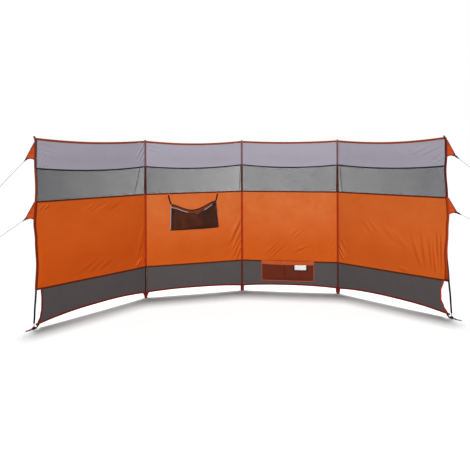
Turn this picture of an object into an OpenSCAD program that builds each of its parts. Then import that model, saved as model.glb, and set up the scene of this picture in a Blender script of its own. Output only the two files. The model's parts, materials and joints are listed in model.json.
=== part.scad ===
// Beach windbreak of four cloth bays on five poles, set up in an arc and guyed to ground pegs.
// Origin: foot of the centre pole on the ground. +X right, -Y towards the sheltered side, +Z up.

/* [Plan] */
// Distance from pole to pole along one bay
bay_w = 1045; // [900:5:1300]
// Turn of the two inner bays off a straight line, in degrees
inner_turn = 8.6; // [0:0.1:20]
// Turn of the two outer bays off a straight line, in degrees
outer_turn = 37.9; // [20:0.1:60]
// How far the foot of the left end pole stands out past its top
left_lean = 20; // [0:1:60]
// How far the foot of the right end pole stands out past its top
right_lean = 35; // [0:1:60]

/* [Heights] */
// Height of the pole tips above the ground
pole_h = 1680; // [1550:5:1900]
// Length of pole that shows above the cloth
tip_h = 16; // [10:1:40]
// Height of the seam between the skirt and the main panel
skirt_top = 341; // [300:1:420]
// Height of the seam between the main panel and the mesh window
main_top = 1109; // [1000:1:1200]
// Height of the seam between the mesh window and the top band
mesh_top = 1404; // [1320:1:1460]
// Dip of the top edge and of the seam under it, at mid bay
top_sag = 28; // [0:1:50]
// Height of the hem at the two end poles
hem_end = 25; // [22:1:40]
// Height of the hem at the three inner poles
hem_inner = 50; // [45:1:70]
// Rise of the hem at mid bay, in the two end bays
end_hem_rise = 40; // [10:1:70]
// Rise of the hem at mid bay, in the two inner bays
inner_hem_rise = 22; // [5:1:60]

/* [Cloth] */
// Thickness of a cloth panel
cloth_t = 3; // [2:0.5:4]
// Thickness of the binding and seam tapes
tape_t = 5; // [4.5:0.5:8]
// Width of the binding on the top edge and the hem
bind_w = 14; // [8:1:20]
// Width of the tape along each seam
seam_w = 12; // [6:1:20]
// Width of the binding on the side edges of a skirt
edge_w = 10; // [6:1:20]
// Gap between an end pole and the skirt, at the seam above the skirt
skirt_inset = 38; // [25:1:60]
// Gap between an end pole and the skirt, at the hem
skirt_foot_inset = 50; // [35:1:80]
// How far the end edge of the skirt bows in between seam and hem
skirt_bow = 14; // [0:1:30]

/* [Poles] */
// Diameter of a pole
pole_d = 13; // [11:0.5:18]
// Wall of the cloth sleeve on a pole
sleeve_wall = 3; // [2:0.5:5]
// Diameter of the metal spigots at the two ends of a pole
spigot_d = 9; // [6:0.5:10]
// Height to which the lower spigot shows
spigot_h = 66; // [40:1:90]
// Diameter of the plastic foot on a pole
foot_d = 20; // [18:0.5:26]
// Height of the plastic foot
foot_h = 22; // [16:1:30]
// Thickness of the floor in the plastic foot
foot_floor = 4; // [3:0.5:8]

/* [Webbing] */
// Thickness of the webbing at the feet and guy tabs
web_t = 2.5; // [1.5:0.5:4]
// Height of the webbing ring round a foot
ring_h = 16; // [10:1:20]
// Width of the webbing straps at the inner poles
strap_w = 26; // [15:1:32]
// Length of the webbing tail beside an end pole
tail_l = 65; // [30:1:120]
// Width of the webbing tail beside an end pole
tail_w = 20; // [12:1:30]

/* [Guys] */
// Height of a guy tab along its pole
tab_h = 150; // [110:1:200]
// Reach of a guy tab out from its pole
tab_out = 80; // [60:1:110]
// Depth of the scoop in the lower edge of a guy tab
tab_scoop = 22; // [0:1:30]
// Width of the webbing at the tip of a guy tab
tab_web_w = 14; // [8:1:20]
// Length of the webbing at the tip of a guy tab
tab_web_l = 24; // [15:1:40]
// Drop of the upper guy tabs below the top of the cloth
tab_drop = 20; // [5:1:60]
// Diameter of a guy line
line_d = 3; // [2:0.5:5]
// Distance of the left guy peg from the left end pole
left_reach = 1436; // [1000:1:2400]
// Distance of the right guy peg from the right end pole
right_reach = 2000; // [1000:1:2400]
// Distance of a rear guy peg from its pole
rear_reach = 1640; // [1200:1:2200]
// Drop of the rear guy loops below the top of the cloth
rear_drop = 50; // [30:1:90]
// Height of a rear guy loop along its pole
loop_h = 26; // [20:1:40]
// Reach of a rear guy loop behind its pole
loop_out = 30; // [24:1:50]
// Width of a rear guy loop at the line
loop_w = 10; // [8:1:14]
// Diameter of a ground peg
peg_d = 7; // [5:0.5:10]
// Length of peg that stands out of the ground, up to its hook
peg_h = 46; // [42:1:80]
// Radius of the hook on a peg
hook_r = 9; // [8:0.5:14]
// Length of a line runner
runner_l = 38; // [25:1:60]
// Width of a line runner
runner_w = 14; // [10:0.5:20]
// Thickness of a line runner
runner_t = 7; // [6.5:0.5:10]
// Distance of a line runner from its peg along the line
runner_at = 400; // [200:1:700]

/* [Hanging pocket] */
// Distance of the pocket from the second pole, at its lower corner
pocket_x = 268; // [150:1:330]
// Width of the pocket along its bottom
pocket_w = 510; // [350:1:560]
// How far each side slopes in from bottom to top
pocket_taper = 18; // [0:1:50]
// Height of the pocket at its corners
pocket_h = 272; // [200:1:320]
// Depth of the pocket from front to back, outside
pocket_depth = 40; // [30:1:60]
// Wall of the pocket
pocket_wall = 3; // [2:0.5:4]
// Drop of the pocket below the seam that it hangs from
pocket_drop = 124; // [80:1:160]
// Dip in the back edge of the mouth
back_dip = 66; // [0:1:90]
// Drop of the front edge of the mouth, at its ends
front_drop = 30; // [10:1:50]
// Dip in the front edge of the mouth
front_dip = 92; // [0:1:120]
// Width of the straps that carry the pocket
pocket_strap_w = 16; // [10:1:24]
// How far the straps lean out from pocket to seam
pocket_strap_lean = 22; // [0:1:40]

/* [Skirt pocket] */
// Distance of the skirt pocket from the centre pole
skirt_pocket_x = 219; // [150:1:280]
// Width of the skirt pocket
skirt_pocket_w = 567; // [450:1:600]
// Room in the skirt pocket from front to back
skirt_pocket_room = 28; // [20:1:40]
// Distance of the mouth of the skirt pocket below the seam
skirt_pocket_drop = 11; // [11:1:30]
// Distance of the bottom of the skirt pocket above the hem binding
skirt_pocket_lift = 36; // [2:1:50]
// Height of the cloth band along the mouth
mouth_band_h = 29; // [15:1:40]
// Width of the binding round the skirt pocket
pocket_bind_w = 10; // [6:1:16]
// Width of the blank label
label_w = 135; // [80:1:160]
// Height of the blank label
label_h = 56; // [30:1:70]
// Thickness of the blank label
label_t = 1.5; // [1:0.5:3]
// Distance of the label from the right edge of the skirt pocket
label_inset = 74; // [20:1:200]

/* [Hidden] */
$fn = 48;
// Clearance between pieces that are sewn or slipped together
fit = 0.3;
// Radial play of a pole in its foot, which lets the pole lean
foot_play = 0.8;
// Overreach of a cutting solid
cut = 1;
// Straight stretches in a curved cloth edge
curve_steps = 24;
// Power of the hem's arch: flat in the middle and steep at the poles
hem_power = 2.4;
// Height of each end guy line on its peg, upper line first
line_on_peg = [30, 15];
// Height of a rear guy line on its peg
rear_on_peg = 24;
// Length of the straight end of a peg's hook
hook_tail = 10;

cloth_top = pole_h - tip_h;
sleeve_d = pole_d + 2 * (fit + sleeve_wall);
sleeve_edge = sleeve_d / 2 + fit;
pole_edge = pole_d / 2 + fit;
ring_d = foot_d + 2 * (fit + web_t);
bay_turns = [outer_turn, inner_turn, -inner_turn, -outer_turn];
bay_steps = [for (t = bay_turns) bay_w * [cos(t), sin(t)]];
pole_xy = [
    -bay_steps[0] - bay_steps[1],
    -bay_steps[1],
    [0, 0],
    bay_steps[2],
    bay_steps[2] + bay_steps[3],
];
pole_turns = [
    outer_turn,
    (outer_turn + inner_turn) / 2,
    0,
    -(outer_turn + inner_turn) / 2,
    -outer_turn,
];
pole_leans = [-left_lean, 0, 0, 0, right_lean];
inner_poles = [1, 2, 3];
end_poles = [0, 4];
last_bay = 3;
last_pole = 4;
tab_tops = [cloth_top - tab_drop, main_top];
reaches = [left_reach, right_reach];

// Where the poles and the cloth edges are

function lerp(a, b, t) = a + (b - a) * t;
function turned(t) = [cos(t), sin(t)];
function flat(p) = [p.x, p.y, 0];
function foot_point(i) = flat(pole_xy[i] + pole_leans[i] * turned(pole_turns[i]));
function tip_point(i) = [pole_xy[i].x, pole_xy[i].y, pole_h];
function pole_point(i, z) = lerp(foot_point(i), tip_point(i), z / pole_h);

// Pole axes at the two sides of a bay, at height z, along the bay
function left_axis(i, z) = i == 0 ? pole_leans[0] * (1 - z / pole_h) : 0;
function right_axis(i, z) = bay_w + (i == last_bay ? pole_leans[last_pole] * (1 - z / pole_h) : 0);

// Heights of the curved edges at share s of a bay
function dip(s) = 4 * s * (1 - s);
function top_edge(s) = cloth_top - top_sag * dip(s);
function window_edge(s) = mesh_top - top_sag * dip(s);
function hem_ends(i) = [i == 0 ? hem_end : hem_inner, i == last_bay ? hem_end : hem_inner];
function hem_rise(i) = i == 0 || i == last_bay ? end_hem_rise : inner_hem_rise;
function hem_edge(i, s) =
    lerp(hem_ends(i)[0], hem_ends(i)[1], s) + hem_rise(i) * (1 - pow(abs(2 * s - 1), hem_power));

// Height of the hem's straight stretches at share s of a bay
function hem_line(i, s) =
    let (k = min(floor(s * curve_steps), curve_steps - 1))
    lerp(hem_edge(i, k / curve_steps), hem_edge(i, (k + 1) / curve_steps), s * curve_steps - k);

// Side edges of a skirt at height z, along the bay
function skirt_share(z) = (z - hem_end) / (skirt_top - hem_end);
function end_inset(z) =
    lerp(skirt_foot_inset, skirt_inset, skirt_share(z)) + skirt_bow * dip(skirt_share(z));
function skirt_left(i, z) = i == 0 ? left_axis(i, z) + end_inset(z) : pole_edge;
function skirt_right(i, z) = i == last_bay ? right_axis(i, z) - end_inset(z) : bay_w - pole_edge;
function hem_left(i) = skirt_left(i, hem_ends(i)[0]);
function hem_right(i) = skirt_right(i, hem_ends(i)[1]);
function hem_share(i, x) = (x - hem_left(i)) / (hem_right(i) - hem_left(i));

// Guy geometry: side 0 is left and 1 is right, level 0 is the upper tab and 1 the lower
function out_sign(side) = side == 0 ? -1 : 1;
function tab_middle(side, level) = pole_point(end_poles[side], tab_tops[level] - tab_h / 2);
function tab_tip(side, level) =
    tab_middle(side, level) + [out_sign(side) * (sleeve_edge + tab_out), 0, -tab_h / 2];
function end_peg(side) = foot_point(end_poles[side]) + [out_sign(side) * reaches[side], 0, 0];
function on_end_peg(side, level) =
    end_peg(side) + [-out_sign(side) * (peg_d + line_d) / 2, 0, line_on_peg[level]];
function back_of(i) = flat(turned(pole_turns[i] + 90));
function loop_middle(i) = pole_point(i, cloth_top - rear_drop);
function loop_tip(i) = loop_middle(i) + (sleeve_edge + loop_out) * back_of(i) - [0, 0, loop_h / 2];
function rear_peg(i) = foot_point(i) + rear_reach * back_of(i);
function on_rear_peg(i) = rear_peg(i) - (peg_d + line_d) / 2 * back_of(i) + [0, 0, rear_on_peg];
function unit(v) = v / norm(v);
function fall(a, b) = asin((a.z - b.z) / norm(b - a));

// Shared forms

module in_bay(i) {
    translate(flat(pole_xy[i])) rotate([0, 0, bay_turns[i]]) children();
}

module at_pole(i) {
    translate(foot_point(i))
        rotate([0, 0, pole_turns[i]])
            rotate([0, -atan(pole_leans[i] / pole_h), 0])
                children();
}

// An outline drawn in (along, up), made upright and t thick about the plane of the bay
module upright(t) {
    rotate([90, 0, 0]) linear_extrude(t, center = true) children();
}

// The same, with its back face y in front of the plane of the bay
module upright_in_front(y, t) {
    translate([0, -y, 0]) rotate([90, 0, 0]) linear_extrude(t) children();
}

// A band of cloth from sleeve to sleeve between two edges given as functions of the share of a bay
module band(i, low, high, t) {
    shares = [for (k = [0 : curve_steps]) k / curve_steps];
    low_points = [
        for (s = shares)
            [lerp(left_axis(i, low(0)) + sleeve_edge, right_axis(i, low(1)) - sleeve_edge, s), low(s)]
    ];
    high_points = [
        for (s = shares)
            [lerp(left_axis(i, high(0)) + sleeve_edge, right_axis(i, high(1)) - sleeve_edge, s), high(s)]
    ];
    upright(t) polygon(concat(low_points, [for (k = [curve_steps : -1 : 0]) high_points[k]]));
}

// Turns +X to run from a towards b, with the origin at a
module along(a, b) {
    v = b - a;
    translate(a) rotate([0, fall(a, b), atan2(v.y, v.x)]) children();
}

module rod(a, b, d) {
    along(a, b) rotate([0, 90, 0]) cylinder(h = norm(b - a), d = d);
}

// A cloth tab on a sleeve: h high at the sleeve, its tip out wide, square to a line that falls by angle.
// slant is how far the sleeve moves out over the height of the tab.
module tab_outline(h, out, tip_w, scoop, angle, slant) {
    tip = [sleeve_edge + out, -h / 2];
    across = tip_w / 2 * [sin(angle), cos(angle)];
    root = [sleeve_edge + slant / 2, -h / 2];
    end = tip - across;
    lower = [
        for (k = [0 : curve_steps])
            let (s = k / curve_steps)
            lerp(end, root, s) + [0, scoop * dip(s)]
    ];
    polygon(concat([[sleeve_edge - slant / 2, h / 2], tip + across], lower));
}

// Poles and feet

module pole(i) {
    seat = foot_floor + fit;
    profile = [
        [0, seat],
        [spigot_d / 2, seat],
        [spigot_d / 2, spigot_h],
        [pole_d / 2, spigot_h],
        [pole_d / 2, cloth_top],
        [spigot_d / 2, cloth_top],
        [spigot_d / 2, pole_h],
        [0, pole_h],
    ];
    color("#1c1c1e") at_pole(i) rotate_extrude() polygon(profile);
}

module pole_feet() {
    bore_d = spigot_d + 2 * foot_play;
    color("#161617")
        for (i = [0 : last_pole])
            translate(foot_point(i))
                difference() {
                    cylinder(h = foot_h, d = foot_d);
                    translate([0, 0, foot_floor]) cylinder(h = foot_h, d = bore_d);
                }
}

module foot_ring() {
    difference() {
        cylinder(h = ring_h, d = ring_d);
        translate([0, 0, -cut]) cylinder(h = ring_h + 2 * cut, d = foot_d + 2 * fit);
    }
}

// One webbing strap from a foot ring up to the hem's corner. side is 1 where the bay runs off to +X.
module hem_strap(i, side) {
    root = ring_d / 2 - web_t / 2;
    near = pole_edge + fit;
    far = near + strap_w;
    corner = hem_inner - fit;
    rise = side == 1 ? hem_line(i, hem_share(i, far)) : hem_line(i, hem_share(i, bay_w - far));
    outline = [[root, 0], [far, rise - fit], [near, corner], [root, ring_h]];
    translate([side == 1 ? 0 : bay_w, 0, 0])
        upright(web_t)
            polygon([for (p = outline) [side * p.x, p.y]]);
}

module inner_foot_webbing() {
    color("#8c1f1c")
        for (i = inner_poles)
            union() {
                translate(foot_point(i)) foot_ring();
                in_bay(i - 1) hem_strap(i - 1, -1);
                in_bay(i) hem_strap(i, 1);
            }
}

module end_foot_straps() {
    root = ring_d / 2 - web_t / 2;
    reach = skirt_foot_inset - fit;
    outline = [[root, 0], [reach, hem_end], [reach, hem_end + bind_w], [root, ring_h]];
    color("#7a1d1b")
        for (side = [0, 1])
            translate(foot_point(end_poles[side]))
                rotate([0, 0, pole_turns[end_poles[side]] + (side == 0 ? 0 : 180)])
                    union() {
                        foot_ring();
                        upright(web_t) polygon(outline);
                        translate([-root - tail_l, -tail_w / 2, 0]) cube([tail_l, tail_w, web_t]);
                    }
}

// Cloth

module sleeve(i) {
    bottom = skirt_top - seam_w / 2;
    color("#b4471c")
        at_pole(i)
            translate([0, 0, bottom])
                difference() {
                    cylinder(h = cloth_top - bottom, d = sleeve_d);
                    translate([0, 0, -cut])
                        cylinder(h = cloth_top - bottom + 2 * cut, d = pole_d + 2 * fit);
                }
}

module top_band(i) {
    low = function (s) window_edge(s) + seam_w / 2;
    high = function (s) top_edge(s) - bind_w;
    color("#a5a1ac") in_bay(i) band(i, low, high, cloth_t);
}

module mesh_window(i) {
    low = function (s) main_top + seam_w / 2;
    high = function (s) window_edge(s) - seam_w / 2;
    color("#6f6e72") in_bay(i) band(i, low, high, cloth_t);
}

module main_panel(i) {
    low = function (s) skirt_top + seam_w / 2;
    high = function (s) main_top - seam_w / 2;
    color("#d2602a") in_bay(i) band(i, low, high, cloth_t);
}

module skirt(i) {
    top = skirt_top - seam_w / 2;
    left = hem_left(i) + edge_w;
    right = hem_right(i) - edge_w;
    bottom_left = hem_line(i, hem_share(i, left)) + bind_w;
    bottom_right = hem_line(i, hem_share(i, right)) + bind_w;
    hem_points = [
        for (k = [1 : curve_steps - 1])
            let (s = k / curve_steps)
            [lerp(hem_left(i), hem_right(i), s), hem_edge(i, s) + bind_w]
    ];
    right_points = [
        for (k = [0 : curve_steps])
            let (z = lerp(bottom_right, top, k / curve_steps))
            [skirt_right(i, z) - edge_w, z]
    ];
    left_points = [
        for (k = [0 : curve_steps])
            let (z = lerp(top, bottom_left, k / curve_steps))
            [skirt_left(i, z) + edge_w, z]
    ];
    color("#4e4a4a") in_bay(i) upright(cloth_t) polygon(concat(hem_points, right_points, left_points));
}

module top_binding() {
    low = function (s) top_edge(s) - bind_w;
    high = function (s) top_edge(s);
    color("#a8431f") for (i = [0 : last_bay]) in_bay(i) band(i, low, high, tape_t);
}

module hem_binding() {
    color("#8a2a1c")
        for (i = [0 : last_bay]) {
            low = [
                for (k = [0 : curve_steps])
                    let (s = k / curve_steps)
                    [lerp(hem_left(i), hem_right(i), s), hem_edge(i, s)]
            ];
            high = [for (k = [curve_steps : -1 : 0]) low[k] + [0, bind_w]];
            in_bay(i) upright(tape_t) polygon(concat(low, high));
        }
}

// Binding on one side edge of a skirt, between the hem binding and the seam tape
module skirt_edge(i, side) {
    top = skirt_top - seam_w / 2;
    corner = side == 1 ? hem_left(i) : hem_right(i);
    bottom = hem_line(i, hem_share(i, corner)) + bind_w;
    inner_bottom = hem_line(i, hem_share(i, corner + side * edge_w)) + bind_w;
    outer = [
        for (k = [0 : curve_steps])
            let (z = lerp(bottom, top, k / curve_steps))
            [side == 1 ? skirt_left(i, z) : skirt_right(i, z), z]
    ];
    inner = [
        for (k = [curve_steps : -1 : 0])
            let (z = lerp(inner_bottom, top, k / curve_steps))
            [(side == 1 ? skirt_left(i, z) : skirt_right(i, z)) + side * edge_w, z]
    ];
    upright(tape_t) polygon(concat(outer, inner));
}

module skirt_edge_binding() {
    color("#7d241c")
        for (i = [0 : last_bay], side = [1, -1])
            in_bay(i) skirt_edge(i, side);
}

module seam_tapes() {
    half = seam_w / 2;
    color("#5a2018")
        for (i = [0 : last_bay])
            in_bay(i) {
                band(i, function (s) window_edge(s) - half, function (s) window_edge(s) + half, tape_t);
                band(i, function (s) main_top - half, function (s) main_top + half, tape_t);
                band(i, function (s) skirt_top - half, function (s) skirt_top + half, tape_t);
            }
}

// Guys

module end_guy_tabs() {
    color("#cf5a22")
        for (side = [0, 1], level = [0, 1]) {
            tip = tab_tip(side, level);
            slant = abs(pole_leans[end_poles[side]]) * cos(outer_turn) * tab_h / pole_h;
            translate(tab_middle(side, level))
                rotate([0, 0, side == 0 ? 180 : 0])
                    upright(cloth_t)
                        tab_outline(
                            tab_h, tab_out, tab_web_w, tab_scoop,
                            fall(tip, on_end_peg(side, level)), slant);
        }
}

module guy_tab_webbing() {
    color("#6d1b18")
        for (side = [0, 1], level = [0, 1])
            along(tab_tip(side, level), on_end_peg(side, level))
                translate([fit, -web_t / 2, -tab_web_w / 2])
                    cube([tab_web_l - fit, web_t, tab_web_w]);
}

module guy_line(from, skip, to) {
    rod(from + (skip + fit) * unit(to - from), to, line_d);
}

module end_guy_lines() {
    color("#d8d8d6")
        for (side = [0, 1], level = [0, 1])
            guy_line(tab_tip(side, level), tab_web_l, on_end_peg(side, level));
}

module rear_guy_loops() {
    color("#6d1b18")
        for (i = inner_poles)
            translate(loop_middle(i))
                rotate([0, 0, pole_turns[i] + 90])
                    upright(web_t)
                        tab_outline(loop_h, loop_out, loop_w, 0, fall(loop_tip(i), on_rear_peg(i)), 0);
}

module rear_guy_lines() {
    color("#d8d8d6") for (i = inner_poles) guy_line(loop_tip(i), 0, on_rear_peg(i));
}

module line_runner(peg_end, other_end) {
    along(peg_end, other_end)
        translate([runner_at, 0, 0])
            difference() {
                cube([runner_l, runner_t, runner_w], center = true);
                rotate([0, 90, 0])
                    cylinder(h = runner_l + 2 * cut, d = line_d + 2 * fit, center = true);
            }
}

module line_runners() {
    color("#1a1a1b") {
        for (side = [0, 1], level = [0, 1])
            line_runner(on_end_peg(side, level), tab_tip(side, level));
        for (i = inner_poles) line_runner(on_rear_peg(i), loop_tip(i));
    }
}

// A round steel peg, its hook turned away from the line along +X
module peg() {
    cylinder(h = peg_h, d = peg_d);
    translate([hook_r, 0, peg_h])
        rotate([90, 0, 0])
            rotate_extrude(angle = 180)
                translate([hook_r, 0])
                    circle(d = peg_d);
    translate([2 * hook_r, 0, peg_h - hook_tail]) cylinder(h = hook_tail, d = peg_d);
}

module guy_pegs() {
    color("#b9bbbd") {
        for (side = [0, 1]) translate(end_peg(side)) rotate([0, 0, side == 0 ? 180 : 0]) peg();
        for (i = inner_poles) translate(rear_peg(i)) rotate([0, 0, pole_turns[i] + 90]) peg();
    }
}

// Hanging pocket, in the second bay

pocket_top = main_top - pocket_drop;
pocket_bottom = pocket_top - pocket_h;
pocket_back = tape_t / 2 + fit;
pocket_left = pocket_x + pocket_taper;
pocket_right = pocket_x + pocket_w - pocket_taper;

module hanging_pocket() {
    outline = concat(
        [[pocket_x, pocket_bottom], [pocket_x + pocket_w, pocket_bottom], [pocket_right, pocket_top]],
        [
            for (k = [0 : curve_steps])
                let (s = k / curve_steps)
                [
                    lerp(pocket_right - pocket_strap_w, pocket_left + pocket_strap_w, s),
                    pocket_top - back_dip * dip(s)
                ]
        ],
        [[pocket_left, pocket_top]]);
    room = [
        [pocket_x + pocket_wall, pocket_bottom + pocket_wall],
        [pocket_x + pocket_w - pocket_wall, pocket_bottom + pocket_wall],
        [pocket_right - pocket_wall, pocket_top + cut],
        [pocket_left + pocket_wall, pocket_top + cut],
    ];
    mouth = concat(
        [
            for (k = [0 : curve_steps])
                let (s = k / curve_steps)
                [
                    lerp(pocket_left + pocket_wall, pocket_right - pocket_wall, s),
                    pocket_top - front_drop - front_dip * dip(s)
                ]
        ],
        [[pocket_right - pocket_wall, pocket_top + cut], [pocket_left + pocket_wall, pocket_top + cut]]);
    color("#2a2422")
        in_bay(1)
            difference() {
                upright_in_front(pocket_back, pocket_depth) polygon(outline);
                upright_in_front(pocket_back + pocket_wall, pocket_depth - 2 * pocket_wall) polygon(room);
                upright_in_front(pocket_back + pocket_depth - pocket_wall - cut, pocket_wall + 2 * cut)
                    polygon(mouth);
            }
}

module pocket_straps() {
    top = main_top + seam_w / 2;
    left = [
        [pocket_left, pocket_top],
        [pocket_left + pocket_strap_w, pocket_top],
        [pocket_left + pocket_strap_w - pocket_strap_lean, top],
        [pocket_left - pocket_strap_lean, top],
    ];
    middle = pocket_left + pocket_right;
    color("#221c1b")
        in_bay(1) {
            upright_in_front(pocket_back, pocket_wall) polygon(left);
            upright_in_front(pocket_back, pocket_wall) polygon([for (p = left) [middle - p.x, p.y]]);
        }
}

// Skirt pocket, in the third bay

skirt_pocket_back = cloth_t / 2 + fit;
skirt_pocket_front = skirt_pocket_back + skirt_pocket_room;
skirt_pocket_top = skirt_top - skirt_pocket_drop;
skirt_pocket_bottom = hem_inner + inner_hem_rise + bind_w + skirt_pocket_lift;
mouth_band_bottom = skirt_pocket_top - mouth_band_h;

module skirt_pocket() {
    color("#5b2c24")
        in_bay(2)
            upright_in_front(skirt_pocket_front, cloth_t)
                translate([skirt_pocket_x, skirt_pocket_bottom])
                    square([skirt_pocket_w, mouth_band_bottom - skirt_pocket_bottom]);
}

module skirt_pocket_band() {
    color("#c9521f")
        in_bay(2)
            upright_in_front(skirt_pocket_front, cloth_t)
                translate([skirt_pocket_x, mouth_band_bottom])
                    square([skirt_pocket_w, mouth_band_h]);
}

module skirt_pocket_binding() {
    color("#c9521f")
        in_bay(2)
            upright_in_front(skirt_pocket_back, skirt_pocket_room)
                translate([skirt_pocket_x, skirt_pocket_bottom])
                    difference() {
                        square([skirt_pocket_w, skirt_pocket_top - skirt_pocket_bottom]);
                        translate([pocket_bind_w, pocket_bind_w])
                            square([
                                skirt_pocket_w - 2 * pocket_bind_w,
                                skirt_pocket_top - skirt_pocket_bottom,
                            ]);
                    }
}

module pocket_label() {
    color("#e9e6e2")
        in_bay(2)
            upright_in_front(skirt_pocket_front + cloth_t, label_t)
                translate([
                    skirt_pocket_x + skirt_pocket_w - label_inset - label_w,
                    mouth_band_bottom - label_h,
                ])
                    square([label_w, label_h]);
}

pole(0);  // pole_1
pole(1);  // pole_2
pole(2);  // pole_3
pole(3);  // pole_4
pole(4);  // pole_5
pole_feet();
inner_foot_webbing();
end_foot_straps();
sleeve(0);  // sleeve_1
sleeve(1);  // sleeve_2
sleeve(2);  // sleeve_3
sleeve(3);  // sleeve_4
sleeve(4);  // sleeve_5
top_band(0);  // top_band_1
top_band(1);  // top_band_2
top_band(2);  // top_band_3
top_band(3);  // top_band_4
mesh_window(0);  // mesh_window_1
mesh_window(1);  // mesh_window_2
mesh_window(2);  // mesh_window_3
mesh_window(3);  // mesh_window_4
main_panel(0);  // main_panel_1
main_panel(1);  // main_panel_2
main_panel(2);  // main_panel_3
main_panel(3);  // main_panel_4
skirt(0);  // skirt_1
skirt(1);  // skirt_2
skirt(2);  // skirt_3
skirt(3);  // skirt_4
top_binding();
hem_binding();
skirt_edge_binding();
seam_tapes();
end_guy_tabs();
guy_tab_webbing();
end_guy_lines();
rear_guy_loops();
rear_guy_lines();
line_runners();
guy_pegs();
hanging_pocket();
pocket_straps();
skirt_pocket();
skirt_pocket_band();
skirt_pocket_binding();
pocket_label();
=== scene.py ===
# Beach windbreak of four cloth bays on five poles, set up in an arc and guyed to ground pegs.
# Metres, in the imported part's frame: origin at the centre pole's foot, -Y towards the sheltered side.
import json
import math
import random

import bmesh
import bpy
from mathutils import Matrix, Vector, noise


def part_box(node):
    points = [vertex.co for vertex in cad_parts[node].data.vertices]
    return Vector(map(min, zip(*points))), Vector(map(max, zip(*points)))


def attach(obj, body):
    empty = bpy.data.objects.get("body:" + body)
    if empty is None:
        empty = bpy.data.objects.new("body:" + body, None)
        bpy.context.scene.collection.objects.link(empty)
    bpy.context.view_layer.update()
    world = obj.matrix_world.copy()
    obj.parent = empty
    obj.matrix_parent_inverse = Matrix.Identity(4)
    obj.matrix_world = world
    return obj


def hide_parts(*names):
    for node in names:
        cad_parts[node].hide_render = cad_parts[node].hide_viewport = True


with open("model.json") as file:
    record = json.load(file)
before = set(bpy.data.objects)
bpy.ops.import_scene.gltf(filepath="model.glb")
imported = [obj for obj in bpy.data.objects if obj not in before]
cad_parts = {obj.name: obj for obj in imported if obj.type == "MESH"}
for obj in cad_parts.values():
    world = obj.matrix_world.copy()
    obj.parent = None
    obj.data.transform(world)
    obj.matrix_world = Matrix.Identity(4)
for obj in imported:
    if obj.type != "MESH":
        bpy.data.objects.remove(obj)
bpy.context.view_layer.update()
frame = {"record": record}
scene = bpy.context.scene
scene.view_settings.view_transform = "Standard"

# Studio
# A white floor in a pale room. A lamp almost overhead throws the short soft shadow under the cloth. A front
# lamp and a weaker rear lamp light the object alone, and strips of light low behind it the floor alone.
room_level = 0.30
floor_seen = "#dcdcdc"
floor_bounce = "#7b7b7b"
floor_half = 60.0


def fill(tree, name, inputs):
    """Fills the sockets of a named node with values or other nodes' outputs."""
    for socket, source in inputs.items():
        if isinstance(source, bpy.types.NodeSocket):
            tree.links.new(source, tree.nodes[name].inputs[socket])
        else:
            tree.nodes[name].inputs[socket].default_value = source


def add(tree, kind, inputs=None, **settings):
    """Adds a shader node, sets its fields, fills its sockets and gives its outputs."""
    node = tree.nodes.new("ShaderNode" + kind)
    for field, value in settings.items():
        setattr(node, field, value)
    fill(tree, node.name, inputs or {})
    return node.outputs


def surface(name):
    """A new material and its node tree."""
    material = bpy.data.materials.new(name)
    material.use_nodes = True
    return material, material.node_tree


def paint(code):
    """An sRGB hex colour as linear RGBA."""
    parts = [int(code[k:k + 2], 16) / 255 for k in (1, 3, 5)]
    return [c / 12.92 if c <= 0.04045 else ((c + 0.055) / 1.055) ** 2.4 for c in parts] + [1.0]


def seen_behind(tree):
    """1 for the rays that show the surroundings as a background, 0 for those that light the object."""
    ray = add(tree, "LightPath")
    either = add(tree, "Math", {0: ray["Is Camera Ray"], 1: ray["Is Glossy Ray"]}, operation="MAXIMUM")[0]
    return add(tree, "Math", {0: either, 1: ray["Is Transmission Ray"]}, operation="MAXIMUM")[0]


scene.world = bpy.data.worlds.new("pale_room")
scene.world.use_nodes = True
tree = scene.world.node_tree
strength = add(tree, "Mix", {0: seen_behind(tree), 2: room_level, 3: 1.0})[0]
fill(tree, "Background", {"Color": paint("#ffffff"), "Strength": strength})

white_floor, tree = surface("white_floor")
tone = add(
    tree, "Mix", {0: seen_behind(tree), 6: paint(floor_bounce), 7: paint(floor_seen)}, data_type="RGBA")[2]
fill(tree, "Principled BSDF", {"Base Color": tone, "Roughness": 1.0, "Specular IOR Level": 0.0})

bm = bmesh.new()
bmesh.ops.create_grid(bm, x_segments=1, y_segments=1, size=floor_half)
floor = bpy.data.objects.new("floor", bpy.data.meshes.new("floor"))
bm.to_mesh(floor.data)
bm.free()
floor.data.materials.append(white_floor)
scene.collection.objects.link(floor)

off_floor = bpy.data.collections.new("off_floor")
floor_only = bpy.data.collections.new("floor_only")
for lit, state in ((off_floor, "EXCLUDE"), (floor_only, "INCLUDE")):
    lit.objects.link(floor)
    lit.collection_objects[0].light_linking.link_state = state


def lamp(name, azimuth, elevation, level, spread):
    """A distant soft lamp. Its level is the share of full white on a surface that faces it."""
    data = bpy.data.lights.new(name, "SUN")
    data.energy = level * math.pi
    data.angle = math.radians(spread)
    around, up = math.radians(azimuth), math.radians(elevation)
    towards = Vector((math.sin(around) * math.cos(up), -math.cos(around) * math.cos(up), math.sin(up)))
    made = bpy.data.objects.new(name, data)
    made.rotation_euler = towards.to_track_quat("Z", "Y").to_euler()
    scene.collection.objects.link(made)
    return made


lamp("shadow_lamp", azimuth=180, elevation=83.5, level=1.20, spread=9)
for lit in (
    lamp("front_lamp", azimuth=-4, elevation=36, level=0.84, spread=25),
    lamp("rear_lamp", azimuth=165, elevation=30, level=0.45, spread=40),
):
    lit.light_linking.receiver_collection = off_floor
    lit.data.cycles.max_bounces = 0

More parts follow.
